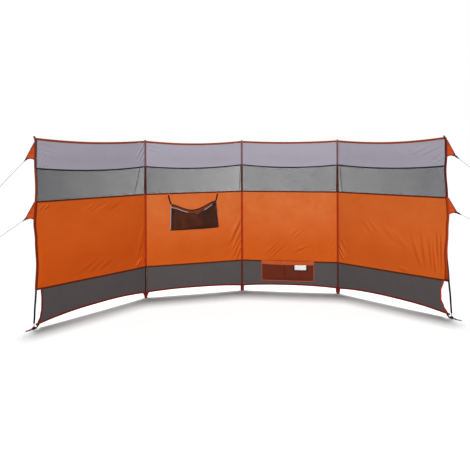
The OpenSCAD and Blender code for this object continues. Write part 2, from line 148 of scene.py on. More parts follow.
camera = bpy.data.objects.new("camera", bpy.data.cameras.new("camera"))
camera.location = (-0.2387, -4.1667, 1.551)
camera.rotation_euler = (math.radians(90), math.radians(0.22), math.radians(-2.81))
camera.data.sensor_width = 36
camera.data.lens = 28.66
camera.data.shift_x = -0.0078
camera.data.shift_y = -0.1788
scene.collection.objects.link(camera)
scene.camera = camera

# Poles
# Five poles of thin steel tube, powder coated black, each with a plated spigot at the foot and a rounded
# tip above the cloth. The end poles lean out at the foot and bow between their guy tabs.
pole_r = 0.0078
spigot_r = 0.0045
spigot_top = 0.050
spigot_cut = 0.0006
tube_cut = 0.001
tip_r = 0.0085
tip_cut = 0.0008
tip_round = 0.005
inner_tip_drop = 0.007
end_tip_rise = 0.008
pole_seat, pole_top = (corner.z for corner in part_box("pole_3"))
cloth_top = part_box("sleeve_3")[1].z
pole_ring = 0.05
pole_sides = 20
weld = 1e-6
left_bow = [
    (0.0, 0.0), (0.12, -0.005), (0.35, -0.015), (0.55, -0.022), (0.77, -0.011),
    (0.93, 0.002), (1.10, -0.006), (1.21, -0.009), (1.47, 0.001), (1.65, 0.0), (1.69, 0.012),
]
right_bow = [
    (0.0, 0.0), (0.18, -0.006), (0.36, -0.016), (0.60, -0.027), (0.80, -0.015),
    (0.96, -0.004), (1.14, -0.010), (1.35, -0.018), (1.51, -0.008), (1.65, -0.006), (1.69, -0.024),
]

upward = Vector((0, 0, 1))
feet = [Vector(mount["pos_m"]) for mount in frame["record"]["mounts"]]
bay_w = (feet[2] - feet[1]).length
along = [(b - a).normalized() for a, b in zip(feet, feet[1:])]
front = [Vector((step.y, -step.x, 0)) for step in along]
heads = [feet[1] - along[0] * bay_w, *feet[1:4], feet[3] + along[3] * bay_w]
outward = {0: -along[0], 4: along[3]}
bows = {0: left_bow, 4: right_bow}


def shares(count):
    return [k / count for k in range(count + 1)]


def mixed(a, b, share):
    return a + (b - a) * share


def eased(points, place):
    """A smooth curve through (place, value) points."""
    for (a, low), (b, high) in zip(points, points[1:]):
        if place <= b:
            share = max(0.0, (place - a) / (b - a))
            return mixed(low, high, share * share * (3 - 2 * share))
    return points[-1][1]


def lean_out(pole, z):
    """How far a straight end pole would stand out from its head at height z."""
    return (feet[pole] - heads[pole]).length * (1 - z / pole_top)


def pole_out(pole, z):
    return lean_out(pole, z) + eased(bows[pole], z)


def pole_line(pole, z):
    point = heads[pole] + upward * z
    return point + outward[pole] * pole_out(pole, z) if pole in outward else point


def spun(bm, profile, sides, foot=Vector((0, 0, 0))):
    """Spins (radius, height) points round an upright line through foot into a closed form."""
    verts = [bm.verts.new(foot + Vector((radius, 0, height))) for radius, height in profile]
    edges = [bm.edges.new(pair) for pair in zip(verts, verts[1:])]
    bmesh.ops.spin(
        bm, geom=verts + edges, axis=upward, cent=foot, angle=math.tau, steps=sides, use_merge=True)
    bmesh.ops.remove_doubles(bm, verts=bm.verts, dist=weld)
    bmesh.ops.recalc_face_normals(bm, faces=bm.faces)


def piece(name, bm, materials, slot, *nodes, crisp=35, pick=None):
    """Makes an object of a bmesh that stands for CAD nodes, smooth but for edges over crisp degrees. pick
    gives the number of a face's material from its middle."""
    if pick:
        for face in bm.faces:
            face.material_index = int(pick(face.calc_center_median()))
    mesh = bpy.data.meshes.new(name)
    bm.to_mesh(mesh)
    bm.free()
    for material in materials:
        mesh.materials.append(material)
    mesh.shade_smooth()
    mesh.set_sharp_from_angle(angle=math.radians(crisp))
    made = bpy.data.objects.new(name, mesh)
    scene.collection.objects.link(made)
    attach(made, "root")
    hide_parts(*nodes)
    return made


# Powder coat: a fine orange peel, real at about 0.5 mm and drawn at 1.5 mm, with worn, duller patches
powder_coat, tree = surface("black_powder_coat")
place = add(tree, "TexCoord")["Object"]
peel = add(tree, "TexNoise", {"Vector": place, "Scale": 1 / 0.0015, "Detail": 2.0})["Fac"]
worn = add(tree, "TexNoise", {"Vector": place, "Scale": 1 / 0.12, "Detail": 5.0})["Fac"]
tone = add(tree, "Mix", {0: worn, 6: paint("#0b0b0c"), 7: paint("#1a1a1b")}, data_type="RGBA")[2]
dull = add(tree, "MapRange", {"Value": worn, "To Min": 0.55, "To Max": 0.72})["Result"]
bump = add(tree, "Bump", {"Height": peel, "Strength": 0.25, "Distance": 0.0003})["Normal"]
fill(tree, "Principled BSDF", {
    "Base Color": tone, "Roughness": dull, "Normal": bump, "Specular IOR Level": 0.15})

# Zinc plate: bright drawn steel with fine lines along the rod, real at 0.2 mm and drawn at 1 mm
zinc_plate, tree = surface("zinc_plated_steel")
drawn = add(tree, "Mapping", {"Vector": add(tree, "TexCoord")["Object"], "Scale": (1.0, 1.0, 0.08)})[0]
lines = add(tree, "TexNoise", {"Vector": drawn, "Scale": 1 / 0.001, "Detail": 3.0})["Fac"]
tone = add(tree, "Mix", {0: lines, 6: paint("#9c9ea1"), 7: paint("#c9cacb")}, data_type="RGBA")[2]
dull = add(tree, "MapRange", {"Value": lines, "To Min": 0.25, "To Max": 0.45})["Result"]
fill(tree, "Principled BSDF", {"Base Color": tone, "Roughness": dull, "Metallic": 1.0})

for pole in range(5):
    rings = math.ceil((cloth_top - spigot_top) / pole_ring)
    tip_top = pole_top + (end_tip_rise if pole in outward else -inner_tip_drop)
    tube = [(pole_r, mixed(spigot_top + tube_cut, cloth_top, share)) for share in shares(rings)]
    profile = [
        (0, pole_seat), (spigot_r - spigot_cut, pole_seat), (spigot_r, pole_seat + spigot_cut),
        (spigot_r, spigot_top), (pole_r - tube_cut, spigot_top), *tube,
        (tip_r - tip_cut, cloth_top + 0.5 * tip_cut), (tip_r, cloth_top + 1.5 * tip_cut),
        (tip_r, tip_top - tip_round), (tip_r * 0.92, tip_top - 0.5 * tip_round),
        (tip_r * 0.6, tip_top - 0.12 * tip_round), (0, tip_top),
    ]
    bm = bmesh.new()
    spun(bm, profile, pole_sides)
    for vert in bm.verts:
        vert.co += pole_line(pole, vert.co.z) - upward * vert.co.z
    piece(
        f"pole_tube_{pole + 1}", bm, [powder_coat, zinc_plate], "pole", f"pole_{pole + 1}",
        pick=lambda at: at.z < spigot_top)

# Pole feet
# Moulded black plastic ferrules pressed on the spigots. Each has a flared sole, grip ribs round its side
# and a chamfered mouth.
foot_r = 0.010
foot_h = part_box("pole_feet")[1].z
foot_sides = 28
bore_gap = 0.0008
bore_r = spigot_r + bore_gap
bore_foot = 0.004
foot_insets = [
    (0.0012, 0), (0, 0.0012), (0, 0.0042), (0.0012, 0.0054), (0.0012, 0.0072), (0.0004, 0.008),
    (0.0004, 0.0096), (0.0013, 0.0104), (0.0013, 0.0122), (0.0006, 0.013), (0.0006, 0.0146),
    (0.0016, 0.0154), (0.002, foot_h - 0.0012), (0.0032, foot_h),
]
foot_profile = [
    (0, 0), *[(foot_r - inset, z) for inset, z in foot_insets],
    (bore_r, foot_h), (bore_r, bore_foot), (0, bore_foot),
]

# Moulded plastic: a spark-eroded grain, real at 0.3 mm and drawn at 1.2 mm, with scuffs of dust low down
moulded_plastic, tree = surface("black_moulded_plastic")
place = add(tree, "TexCoord")["Object"]
grain = add(tree, "TexVoronoi", {"Vector": place, "Scale": 1 / 0.0012})["Distance"]
scuff = add(tree, "TexNoise", {"Vector": place, "Scale": 1 / 0.012, "Detail": 6.0})["Fac"]
tone = add(tree, "Mix", {0: scuff, 6: paint("#0f0f10"), 7: paint("#262627")}, data_type="RGBA")[2]
bump = add(tree, "Bump", {"Height": grain, "Strength": 0.3, "Distance": 0.0003})["Normal"]
fill(tree, "Principled BSDF", {"Base Color": tone, "Roughness": 0.62, "Normal": bump})

bm = bmesh.new()
for foot in feet:
    spun(bm, foot_profile, foot_sides, foot)
piece("pole_boots", bm, [moulded_plastic], "foot", "pole_feet")

# Pole sleeves
# Long tubes of polyester sewn between the bays, one on each pole. Each is painted darker than the cloth
# beside it, in one tone beside the orange panel, one beside the mesh and one beside the grey band; the
# darkening, down to dark brown beside the mesh, is painted shade on the tube. The right end sleeve is cut
# wider towards its foot, where its pole comes out and runs along its edge.
sleeve_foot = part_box("sleeve_3")[0].z
sleeve_depth = 0.0094
sleeve_girth = 0.060
cloth_thick = 0.0008
seam_w = 0.012
skirt_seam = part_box("main_panel_2")[0].z - seam_w / 2
main_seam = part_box("main_panel_2")[1].z + seam_w / 2
window_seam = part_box("mesh_window_2")[1].z + seam_w / 2
across = [along[0], *[(a + b).normalized() for a, b in zip(along, along[1:])], along[3]]
facing = [Vector((way.y, -way.x, 0)) for way in across]
slips = [0.0, 0.015, 0.007, 0.009, 0.0]
end_rise = 0.010
right_foot_rise = 0.018
wave_period = math.tau / 20


def flared(width):
    """Half widths up one side of an inner sleeve that the seam over the main panel pulls out to width."""
    return [
        (0.33, 0.011), (main_seam - 0.03, 0.011), (main_seam + 0.01, width), (window_seam, 0.0105),
        (1.67, 0.0105),
    ]


centre_sleeve = [(0.33, 0.011), (1.67, 0.0105)]
sleeve_left = [
    [(0.33, 0.0095), (1.67, 0.0095)],
    flared(0.015),
    centre_sleeve,
    flared(0.016),
    [
        (0.33, 0.036), (0.50, 0.024), (0.75, 0.014), (main_seam - 0.02, 0.012), (main_seam + 0.01, 0.017),
        (main_seam + 0.05, 0.011), (1.67, 0.011),
    ],
]
sleeve_right = [
    [(0.33, 0.0088), (main_seam, 0.0088), (1.20, 0.010), (window_seam, 0.0088), (1.67, 0.0088)],
    flared(0.014),
    centre_sleeve,
    flared(0.012),
    [(0.33, -0.0090), (0.46, -0.0090), (0.56, 0.0085), (1.67, 0.0085)],
]


def laid(bm, columns, rows, place):
    """Adds a grid and welds the edges that meet. place(u, v) gives each vertex its point and its place on
    the flat cloth."""
    flat_map = bm.loops.layers.uv.verify()
    verts = bmesh.ops.create_grid(bm, x_segments=columns, y_segments=rows, size=0.5)["verts"]
    flat = {}
    for vert in verts:
        vert.co, flat[vert] = place(vert.co.x + 0.5, vert.co.y + 0.5)
    for face in {face for vert in verts for face in vert.link_faces}:
        for loop in face.loops:
            loop[flat_map].uv = flat[loop.vert]
    bmesh.ops.remove_doubles(bm, verts=verts, dist=weld)


def woven_cloth(name, colour, light, dark, roughness, sheen, thread=0.0026, painted_top_light=None):
    """Plain-woven polyester: threads of 0.25 mm, drawn coarser so that they show, and an uneven dye. The
    last argument, if given, is a paler colour painted on a main panel towards its upper seam: painted light,
    standing in for the stronger light from above on the panel's upper part."""
    material, tree = surface(name)
    flat = add(tree, "TexCoord")["UV"]
    warp = add(tree, "TexWave", {"Vector": flat, "Scale": wave_period / thread}, bands_direction="X")["Fac"]
    weft = add(tree, "TexWave", {"Vector": flat, "Scale": wave_period / thread}, bands_direction="Y")["Fac"]
    weave = add(tree, "Math", {0: warp, 1: weft}, operation="MULTIPLY")[0]
    cloud = add(
        tree, "TexNoise", {"Vector": flat, "Scale": 1 / 0.16, "Detail": 5.0, "Roughness": 0.6})["Fac"]
    dye = add(tree, "Mix", {0: cloud, 6: paint(dark), 7: paint(light)}, data_type="RGBA")[2]
    tone = add(tree, "Mix", {0: weave, 6: dye, 7: paint(colour)}, data_type="RGBA")[2]
    # Painted light: the colour turns paler towards the upper seam, for the stronger light from above there.
    if painted_top_light:
        height = add(tree, "SeparateXYZ", {"Vector": add(tree, "TexCoord")["Object"]})["Z"]
        rise = add(
            tree, "MapRange", {"Value": height, "From Min": skirt_seam, "From Max": main_seam},
            interpolation_type="SMOOTHSTEP")["Result"]
        lit_share = add(tree, "Math", {0: rise, 1: cloud}, operation="MULTIPLY")[0]
        tone = add(tree, "Mix", {0: lit_share, 6: tone, 7: paint(painted_top_light)}, data_type="RGBA")[2]
    dull = add(tree, "MapRange", {"Value": cloud, "To Min": roughness - 0.06, "To Max": roughness + 0.06})
    bump = add(tree, "Bump", {"Height": weave, "Strength": 0.22, "Distance": 0.0005})["Normal"]
    fill(tree, "Principled BSDF", {
        "Base Color": tone, "Roughness": dull["Result"], "Normal": bump, "Sheen Weight": sheen,
        "Specular IOR Level": 0.12})
    return material


def thickened(made, thick, offset=0.0):
    wall = made.modifiers.new("cloth_thickness", "SOLIDIFY")
    wall.thickness = thick
    wall.offset = offset


def cloth_sheet(name, grid, place, cloths, slot, node, thick, offset=0.0, pick=None, turned=False, **terms):
    bm = bmesh.new()
    laid(bm, *grid, place)
    if turned:
        bmesh.ops.recalc_face_normals(bm, faces=bm.faces)
    made = piece(name, bm, cloths, slot, node, crisp=80, pick=pick)
    thickened(made, thick, offset)


def shaded_sleeve_cloths(side, *dyes):
    """A sleeve's cloth beside the orange panel, the mesh and the grey band, each tone painted darker as
    shade on the tube.
    """
    bands = (("orange", 0.62), ("mesh", 0.66), ("grey", 0.62))
    return [
        woven_cloth(f"{side}sleeve_beside_{band}", *dye, roughness, 0.03)
        for (band, roughness), dye in zip(bands, dyes)]


# Sleeve tones painted darker than the cloth beside them, darkest beside the mesh: painted shade on the
# tubes.
inner_sleeves = shaded_sleeve_cloths(
    "", ("#a82d06", "#b0340c", "#a02804"), ("#472016", "#51261a", "#3c1a11"),
    ("#78565a", "#806064", "#6e4c50"))
left_sleeves = shaded_sleeve_cloths(
    "left_", ("#7c2409", "#862a0d", "#721e06"), ("#84391b", "#8d4021", "#7a3115"),
    ("#623124", "#6b382a", "#582a1e"))
right_sleeves = shaded_sleeve_cloths(
    "right_", ("#a8380c", "#b03f11", "#9e3009"), ("#641f1a", "#6d2520", "#5b1914"),
    ("#5e1f1c", "#672522", "#551916"))


def rounded(turn, power_across, power_out):
    """The cosine and sine of a turn, squared off by the two powers."""
    side, lift = math.cos(turn), math.sin(turn)
    return (
        math.copysign(abs(side) ** power_across, side), math.copysign(abs(lift) ** power_out, lift))


for pole in range(5):
    def sleeve_place(u, v):
        low = sleeve_foot + (right_foot_rise if pole == 4 else 0.0)
        z = mixed(low, cloth_top + (end_rise if pole in outward else 0.0), v)
        side, lift = rounded(-math.tau * u, 0.8, 0.9)
        half = eased(sleeve_right[pole] if side > 0 else sleeve_left[pole], z)
        slack = 1 + 0.10 * noise.noise((pole * 7.0, z * 30, 0.3))
        away = across[pole] * side * half + facing[pole] * lift * sleeve_depth * slack
        return pole_line(pole, z) + away, (u * sleeve_girth, z)

    def beside(at):
        return (at.z + slips[pole] > main_seam) + (at.z + slips[pole] > window_seam)

    cloth_sheet(
        f"sleeve_cloth_{pole + 1}", (24, 120), sleeve_place,
        {0: left_sleeves, 4: right_sleeves}.get(pole, inner_sleeves), "sleeve", f"sleeve_{pole + 1}",
        cloth_thick, offset=-1.0, pick=beside,
        flat=(sleeve_girth, cloth_top - sleeve_foot), held="stretched", rests_on=[f"pole_{pole + 1}"])

# Top bands
# Grey polyester, one band in each bay. Its top edge and the seam under it are cut in a shallow dip, and it
# creases towards the poles where the guys pull. The folds of each bay's cloth are set here for all bands.
bind_w = 0.014
edge_tuck = 0.002
top_sag = cloth_top - bind_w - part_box("top_binding")[0].z
top_sags = [0.75 * top_sag, top_sag, 0.55 * top_sag, top_sag]
slip_hold = [(0.05, 0.0), (0.30, 1.0), (1.42, 1.0), (1.64, 0.0)]
sewn_in = 0.006
hold_reach = 0.03
slack_out = 0.0022
ripple_out = 0.0007
belly = [
    (0.02, 0.004), (skirt_seam, 0.003), (0.62, 0.022), (main_seam, 0.0),
    (1.25, -0.003), (window_seam, -0.001), (1.53, 0.005), (1.67, 0.0),
]

# Folds: bay, start and end in (along, up), width and depth, and where there are more, their count and step
folds = [
    (0, (0.43, 1.000), (0.525, 1.062), 0.010, 0.0040, 2, (0.035, -0.010)),
    (0, (0.565, 0.984), (0.689, 1.066), 0.011, 0.0045, 3, (0.036, -0.004)),
    (0, (0.018, 1.035), (0.080, 1.086), 0.009, 0.0045, 2, (0.034, -0.004)),
    (0, (0.36, 0.42), (0.53, 0.53), 0.018, 0.0028, 3, (0.075, -0.012)),
    (0, (0.940, 0.355), (0.985, 0.440), 0.011, 0.0120),
    (0, (0.968, 0.352), (1.010, 0.452), 0.011, 0.0150),
    (0, (0.996, 0.352), (1.030, 0.440), 0.009, 0.0140),
    (0, (0.935, 0.46), (1.025, 0.66), 0.012, 0.0030, 3, (0.012, 0.075)),
    (0, (0.945, 1.485), (1.030, 1.635), 0.008, 0.0042, 3, (0.022, -0.030)),
    (0, (0.02, 1.640), (0.20, 1.575), 0.010, 0.0016, 3, (0.0, -0.045)),
    (1, (0.925, 0.370), (1.030, 0.600), 0.016, 0.0105),
    (1, (0.968, 0.352), (1.036, 0.520), 0.014, 0.0115),
    (1, (0.925, 0.455), (1.034, 0.700), 0.016, 0.0095),
    (1, (0.885, 0.530), (1.020, 0.775), 0.018, 0.0090),
    (1, (0.925, 0.630), (1.034, 0.830), 0.017, 0.0090),
    (1, (0.02, 1.630), (0.16, 1.590), 0.010, 0.0020, 2, (0.0, -0.045)),
    (2, (0.24, 0.405), (0.41, 0.580), 0.012, 0.0075, 3, (0.030, -0.018)),
    (2, (0.53, 0.625), (0.61, 0.710), 0.014, 0.0060, 2, (0.04, -0.02)),
    (2, (0.58, 0.450), (0.66, 0.512), 0.012, 0.0055, 2, (0.05, 0.02)),
    (2, (0.95, 0.40), (1.03, 0.56), 0.010, 0.0026, 2, (0.0, 0.08)),
    (3, (0.018, 0.545), (0.078, 0.425), 0.009, 0.0100),
    (3, (0.020, 0.480), (0.066, 0.385), 0.009, 0.0110),
    (3, (0.020, 0.640), (0.10, 0.510), 0.010, 0.0035),
    (3, (0.28, 0.83), (0.39, 0.70), 0.016, 0.0030, 2, (0.05, 0.02)),
    (3, (0.48, 0.80), (0.60, 0.64), 0.016, 0.0032, 3, (0.05, -0.02)),
    (3, (0.625, 0.402), (0.672, 0.362), 0.008, 0.0060, 2, (0.030, 0.002)),
    (3, (0.745, 0.745), (0.830, 0.430), 0.014, 0.0042),
    (3, (0.835, 0.780), (0.868, 0.440), 0.013, 0.0042),
    (3, (0.900, 0.720), (0.925, 0.420), 0.010, 0.0045),
    (3, (0.932, 0.680), (0.955, 0.380), 0.010, 0.0050),
    (3, (0.968, 0.800), (0.980, 0.480), 0.010, 0.0065),
    (3, (1.000, 0.780), (1.006, 0.440), 0.010, 0.0070),
    (3, (0.735, 1.510), (0.90, 1.608), 0.011, 0.0040, 2, (0.095, -0.006)),
    (3, (0.895, 1.440), (1.020, 1.565), 0.010, 0.0045, 2, (0.06, -0.01)),
]

# Short pulls fan out from the corners of each band, where the seams meet the sleeves
pull_w = 0.007
pull_in = 0.012
pull_off = 0.008
pulls = random.Random(11)
for bay in range(4):
    for corner_z, up in ((window_seam, 1), (cloth_top, -1), (main_seam, -1), (skirt_seam, 1)):
        for corner_x, away in ((pull_in, 1), (bay_w - pull_in, -1)):
            for spoke in range(3):
                slope = math.radians(18 + 24 * spoke + pulls.uniform(-8, 8))
                length = pulls.uniform(0.07, 0.15)
                start = (corner_x, corner_z + up * pull_off)
                end = (corner_x + away * length * math.cos(slope), start[1] + up * length * math.sin(slope))
                folds.append((bay, start, end, pull_w, pulls.uniform(0.0010, 0.0022)))

creases = [[], [], [], []]
for bay, start, end, width, depth, *more in folds:
    count, step = more or (1, (0.0, 0.0))
    for k in range(count):
        a = Vector(start) + Vector(step) * k
        creases[bay].append((a, Vector(end) + Vector(step) * k - a, width, depth))


def dip(share):
    return 4 * share * (1 - share)


def top_edge(bay, share):
    to_end = {0: 1 - 2 * share, 3: 2 * share - 1}.get(bay, 0.0)
    return cloth_top - top_sags[bay] * dip(share) + end_rise * max(0.0, to_end) ** 1.5


def window_edge(bay, share):
    return window_seam - top_sag * dip(share)


def left_axis(bay, z):
    return -pole_out(0, z) if bay == 0 else 0.0


def right_axis(bay, z):
    return bay_w + (pole_out(4, z) if bay == 3 else 0.0)


def sewn_left(bay, z):
    return left_axis(bay, z) + sewn_in


def sewn_right(bay, z):
    return right_axis(bay, z) - sewn_in


def on_bay(bay, x, z, out=0.0):
    """A point x along a bay from its left pole's head, z up and out towards the sheltered side. The cloth
    has slipped down the inner poles a little."""
    slip = mixed(slips[bay], slips[bay + 1], x / bay_w) * eased(slip_hold, z)
    return heads[bay] + along[bay] * x + front[bay] * out + upward * (z - slip)


def cloth_out(bay, x, z):
    """How far a bay's cloth stands out of its plane: a slow belly, slack, and the folds."""
    reach = min(x - left_axis(bay, z), right_axis(bay, z) - x)
    hold = min(1.0, max(0.0, reach / hold_reach))
    out = eased(belly, z) * math.sin(math.pi * min(1.0, max(0.0, x / bay_w))) ** 0.7
    out += slack_out * noise.noise((x * 4 + bay * 9.0, z * 3.2, 0.0))
    out += ripple_out * noise.noise((x * 15 + bay * 5.0, z * 13, 4.0))
    point = Vector((x, z))
    for start, run, width, depth in creases[bay]:
        from_start = point - start
        share = from_start.dot(run) / run.length_squared
        if 0 < share < 1:
            off = (from_start.x * run.y - from_start.y * run.x) / run.length / width
            if abs(off) < 4:
                ridge = math.exp(-off * off) - 0.5 * math.exp(-(off - 1.7) ** 2)
                out += depth * ridge * math.sin(math.pi * share) ** 0.7
    return out * hold


def on_cloth(bay, x, z, lift=0.0):
    return on_bay(bay, x, z, cloth_out(bay, x, z) + lift)


def bay_cloth(
    bay, name, slot, node, cloth, grid, sides, ends, height, thick=cloth_thick, rests_on=None, area=None,
):
    """A bay's cloth between two side edges, given by height, and two long edges, given by share."""
    (left, right), (low, high) = sides, ends

    def place(u, v):
        share = u - 0.5 * math.sin(math.tau * u) / math.tau
        z = mixed(low(bay, share), high(bay, share), v)
        x = mixed(left(bay, z), right(bay, z), share)
        return on_cloth(bay, x, z), (x, z)

    cloth_sheet(
        f"{name}_{bay + 1}", grid, place, [cloth], slot, f"{node}_{bay + 1}", thick,
        flat=(bay_w, height), held="stretched", area=area,
        rests_on=rests_on or [f"sleeve_{bay + 1}", f"sleeve_{bay + 2}"])


sleeve_edges = (sewn_left, sewn_right)
grey_cloth = woven_cloth("grey_polyester", "#a8a3b0", "#aea9b6", "#a29daa", 0.58, 0.04)

for bay in range(4):
    bay_cloth(
        bay, "top_cloth", "grey_cloth", "top_band", grey_cloth, (140, 34), sleeve_edges,
        (window_edge, lambda bay, share: top_edge(bay, share) - edge_tuck), cloth_top - window_seam)

# Mesh windows
# Open knitted mesh, one strip in each bay, that the sky shows through. Its threads are drawn thicker towards
# the two ends of the windbreak, so that the mesh there looks darker: painted shade.
net_pitch = 0.0034
net_thick = 0.0005


def knitted_net(name, colour, threads, threads_far, weak=0.03):
    """Knitted mesh with holes. Threads of 0.4 mm at 1.5 mm are drawn coarser. Their half widths are shares
    of the pitch, at the left pole and at the right one, and vary by weak either way."""
    material, tree = surface(name)
    flat = add(tree, "TexCoord")["UV"]
    slant = add(tree, "Mapping", {"Vector": flat, "Rotation": (0, 0, math.radians(45))})[0]
    net = add(
        tree, "TexVoronoi", {"Vector": slant, "Scale": 1 / net_pitch, "Randomness": 0.0},
        feature="DISTANCE_TO_EDGE", voronoi_dimensions="2D")["Distance"]
    stretched = add(tree, "Mapping", {"Vector": flat, "Scale": (6.0, 0.5, 1.0)})[0]
    streak = add(tree, "TexNoise", {"Vector": stretched, "Scale": 1.0, "Detail": 3.0})["Fac"]
    place = add(tree, "SeparateXYZ", {"Vector": flat})["X"]
    width = add(
        tree, "MapRange",
        {"Value": place, "From Max": bay_w, "To Min": threads, "To Max": threads_far})["Result"]
    uneven = add(tree, "MapRange", {"Value": streak, "To Min": -weak, "To Max": weak})["Result"]
    edge = add(tree, "Math", {0: width, 1: uneven}, operation="ADD")[0]
    thread = add(tree, "Math", {0: net, 1: edge}, operation="LESS_THAN")[0]
    bump = add(tree, "Bump", {"Height": net, "Strength": 0.4, "Distance": 0.0006}, invert=True)["Normal"]
    fill(tree, "Principled BSDF", {
        "Base Color": paint(colour), "Roughness": 0.75, "Specular IOR Level": 0.2, "Alpha": thread,
        "Normal": bump})
    return material


def flat_edge(z):
    return lambda bay, share: z


# Thread widths at the left and right of each bay: the thicker threads towards the ends paint the darker
# shade of the windows there.
nets = [
    knitted_net("grey_window_mesh_left_end", "#4c4c4f", 0.350, 0.238),
    knitted_net("grey_window_mesh_left", "#4e4e51", 0.313, 0.216),
    knitted_net("grey_window_mesh_right", "#4e4e51", 0.272, 0.278),
    knitted_net("grey_window_mesh_right_end", "#4c4c4f", 0.262, 0.322),
]

for bay in range(4):
    bay_cloth(
        bay, "window_net", "window_mesh", "mesh_window", nets[bay], (110, 34), sleeve_edges,
        (flat_edge(main_seam), window_edge), window_seam - main_seam, thick=net_thick,
        area=bay_w * (window_seam - main_seam - top_sag * 2 / 3))

# Main panels
# Orange polyester, the widest cloth of each bay, sewn along the mesh above and the skirt below. It bellies a
# little and folds hard beside the inner poles. Its colour is painted paler towards the top as painted light
# from above, least at the left end, and the left end's cloth is painted redder as painted shade for that
# darker bay.
# Copies of the orange cloth for the left end, the inner bays and the right end. Their tints differ as
# painted light and shade: the end bays are less pale at the top, and the left one is redder.
left_orange, inner_orange, right_orange = [
    woven_cloth("orange_polyester" + end, *dye, 0.55, 0.02, painted_top_light=painted_top_light)
    for end, dye, painted_top_light in (
        ("_left", ("#d2540d", "#d75a12", "#cc4e09"), "#d46220"),
        ("", ("#d05914", "#d66019", "#ca530f"), "#d87a42"),
        ("_right", ("#d35c18", "#d9631d", "#cd5613"), "#d56c32"),
    )]

for bay, cloth in enumerate((left_orange, inner_orange, inner_orange, right_orange)):
    bay_cloth(
        bay, "main_cloth", "orange_cloth", "main_panel", cloth, (150, 110), sleeve_edges,
        (flat_edge(skirt_seam), flat_edge(main_seam)), main_seam - skirt_seam)

# Skirts
# Dark grey coated polyester along the ground, cut in an arch between the feet. At the two ends its side
# edge bows in, clear of the pole, and runs out again to the foot.
hem_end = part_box("hem_binding")[0].z
hem_inner = 0.050
hem_rises = [0.040, 0.022, 0.022, 0.040]
hem_power = 2.4
pole_gap = 0.0080
end_skirt_cut = 0.96
left_insets = [
    (0.020, 0.015), (0.050, 0.026), (0.095, 0.042), (0.165, 0.050), (0.230, 0.047), (skirt_seam, 0.036),
]
right_insets = [
    (0.020, 0.013), (0.050, 0.031), (0.095, 0.054), (0.165, 0.074), (0.230, 0.072), (skirt_seam, 0.038),
]


def skirt_left(bay, z):
    return pole_gap if bay > 0 else left_axis(bay, z) + eased(left_insets, z)


def skirt_right(bay, z):
    return bay_w - pole_gap if bay < 3 else right_axis(bay, z) - eased(right_insets, z)


def hem_edge(bay, share):
    low = mixed(hem_end if bay == 0 else hem_inner, hem_end if bay == 3 else hem_inner, share)
    return low + hem_rises[bay] * (1 - abs(2 * share - 1) ** hem_power)


skirt_edges = (skirt_left, skirt_right)
skirt_cloth = woven_cloth("dark_grey_coated_polyester", "#544e4e", "#5a5454", "#4e4848", 0.7, 0.02)

for bay in range(4):
    at_end = bay in (0, 3)
    mean_h = skirt_seam - hem_edge(bay, 0.5) + hem_rises[bay] / (hem_power + 1)
    bay_cloth(
        bay, "skirt_apron", "skirt_cloth", "skirt", skirt_cloth, (130, 34), skirt_edges,
        (lambda bay, share: hem_edge(bay, share) + edge_tuck, flat_edge(skirt_seam)),
        skirt_seam - (hem_end if at_end else hem_inner), rests_on=["inner_foot_webbing", "end_foot_straps"],
        area=bay_w * mean_h * (end_skirt_cut if at_end else 1.0))

# Hem lamps
# Strips of light low behind the skirts. They shine in under the hems, on the floor alone, so that the shadow
# there begins softly.
strip_back = 0.25
strip_up = 0.35
strip_tall = 0.34
strip_watts = 1.6

for bay in range(4):
    strip = bpy.data.objects.new(f"hem_lamp_{bay + 1}", bpy.data.lights.new(f"hem_lamp_{bay + 1}", "AREA"))
    strip.data.shape = "RECTANGLE"
    strip.data.size = bay_w
    strip.data.size_y = strip_tall
    strip.data.energy = strip_watts
    strip.data.cycles.max_bounces = 0
    away = upward * strip_up - front[bay] * strip_back
    strip.location = heads[bay] + along[bay] * bay_w / 2 + away
    strip.rotation_euler = away.to_track_quat("Z", "Y").to_euler()
    strip.visible_camera = False
    strip.light_linking.receiver_collection = floor_only
    scene.collection.objects.link(strip)

# Bindings and seam tapes
# Ribbed polyester tape folded over the top edge, the hem and the side edges of the skirts, and laid flat
# along the three seams. The skirts' sides are sewn with one row of stitches, the rest with two.
tape_thick = 0.0036
top_tape_w = 0.021
window_tape_w = 0.0145
main_tape_w = 0.015
skirt_tape_w = 0.017
hem_tape_w = 0.019
stitch_pitch = 0.006
stitch_half = 0.0008
rib_pitch = 0.0022


def stadium(width, thick, steps=3):
    """Points round a flat tape's section with their place across it, the first repeated as the last."""
    points = []
    for side in (1, -1):
        for share in shares(steps):
            turn = math.pi * (share - 0.5)
            a = side * (width / 2 - thick / 2 + thick / 2 * math.cos(turn))
            points.append((a, side * thick / 2 * math.sin(turn), a))
    return points + points[:1]


def swept(bm, section, spine, sides):
    """Sweeps a closed section along a spine and caps it. sides is the way across the section, one for all or
    one for each point."""
    rows = len(spine) - 1
    sides = [sides] * len(spine) if isinstance(sides, Vector) else sides
    runs = [0.0]
    for a, b in zip(spine, spine[1:]):
        runs.append(runs[-1] + (b - a).length)

    def place(u, v):
        k = round(v * rows)
        a, b, flat = section[round(u * (len(section) - 1))]
        ahead = (spine[min(k + 1, rows)] - spine[max(k - 1, 0)]).normalized()
        side = (sides[k] - ahead * sides[k].dot(ahead)).normalized()
        return spine[k] + side * a + side.cross(ahead) * b, (flat, runs[k])

    laid(bm, len(section) - 1, rows, place)
    bmesh.ops.holes_fill(bm, edges=[edge for edge in bm.edges if edge.is_boundary], sides=0)
    bmesh.ops.recalc_face_normals(bm, faces=bm.faces)


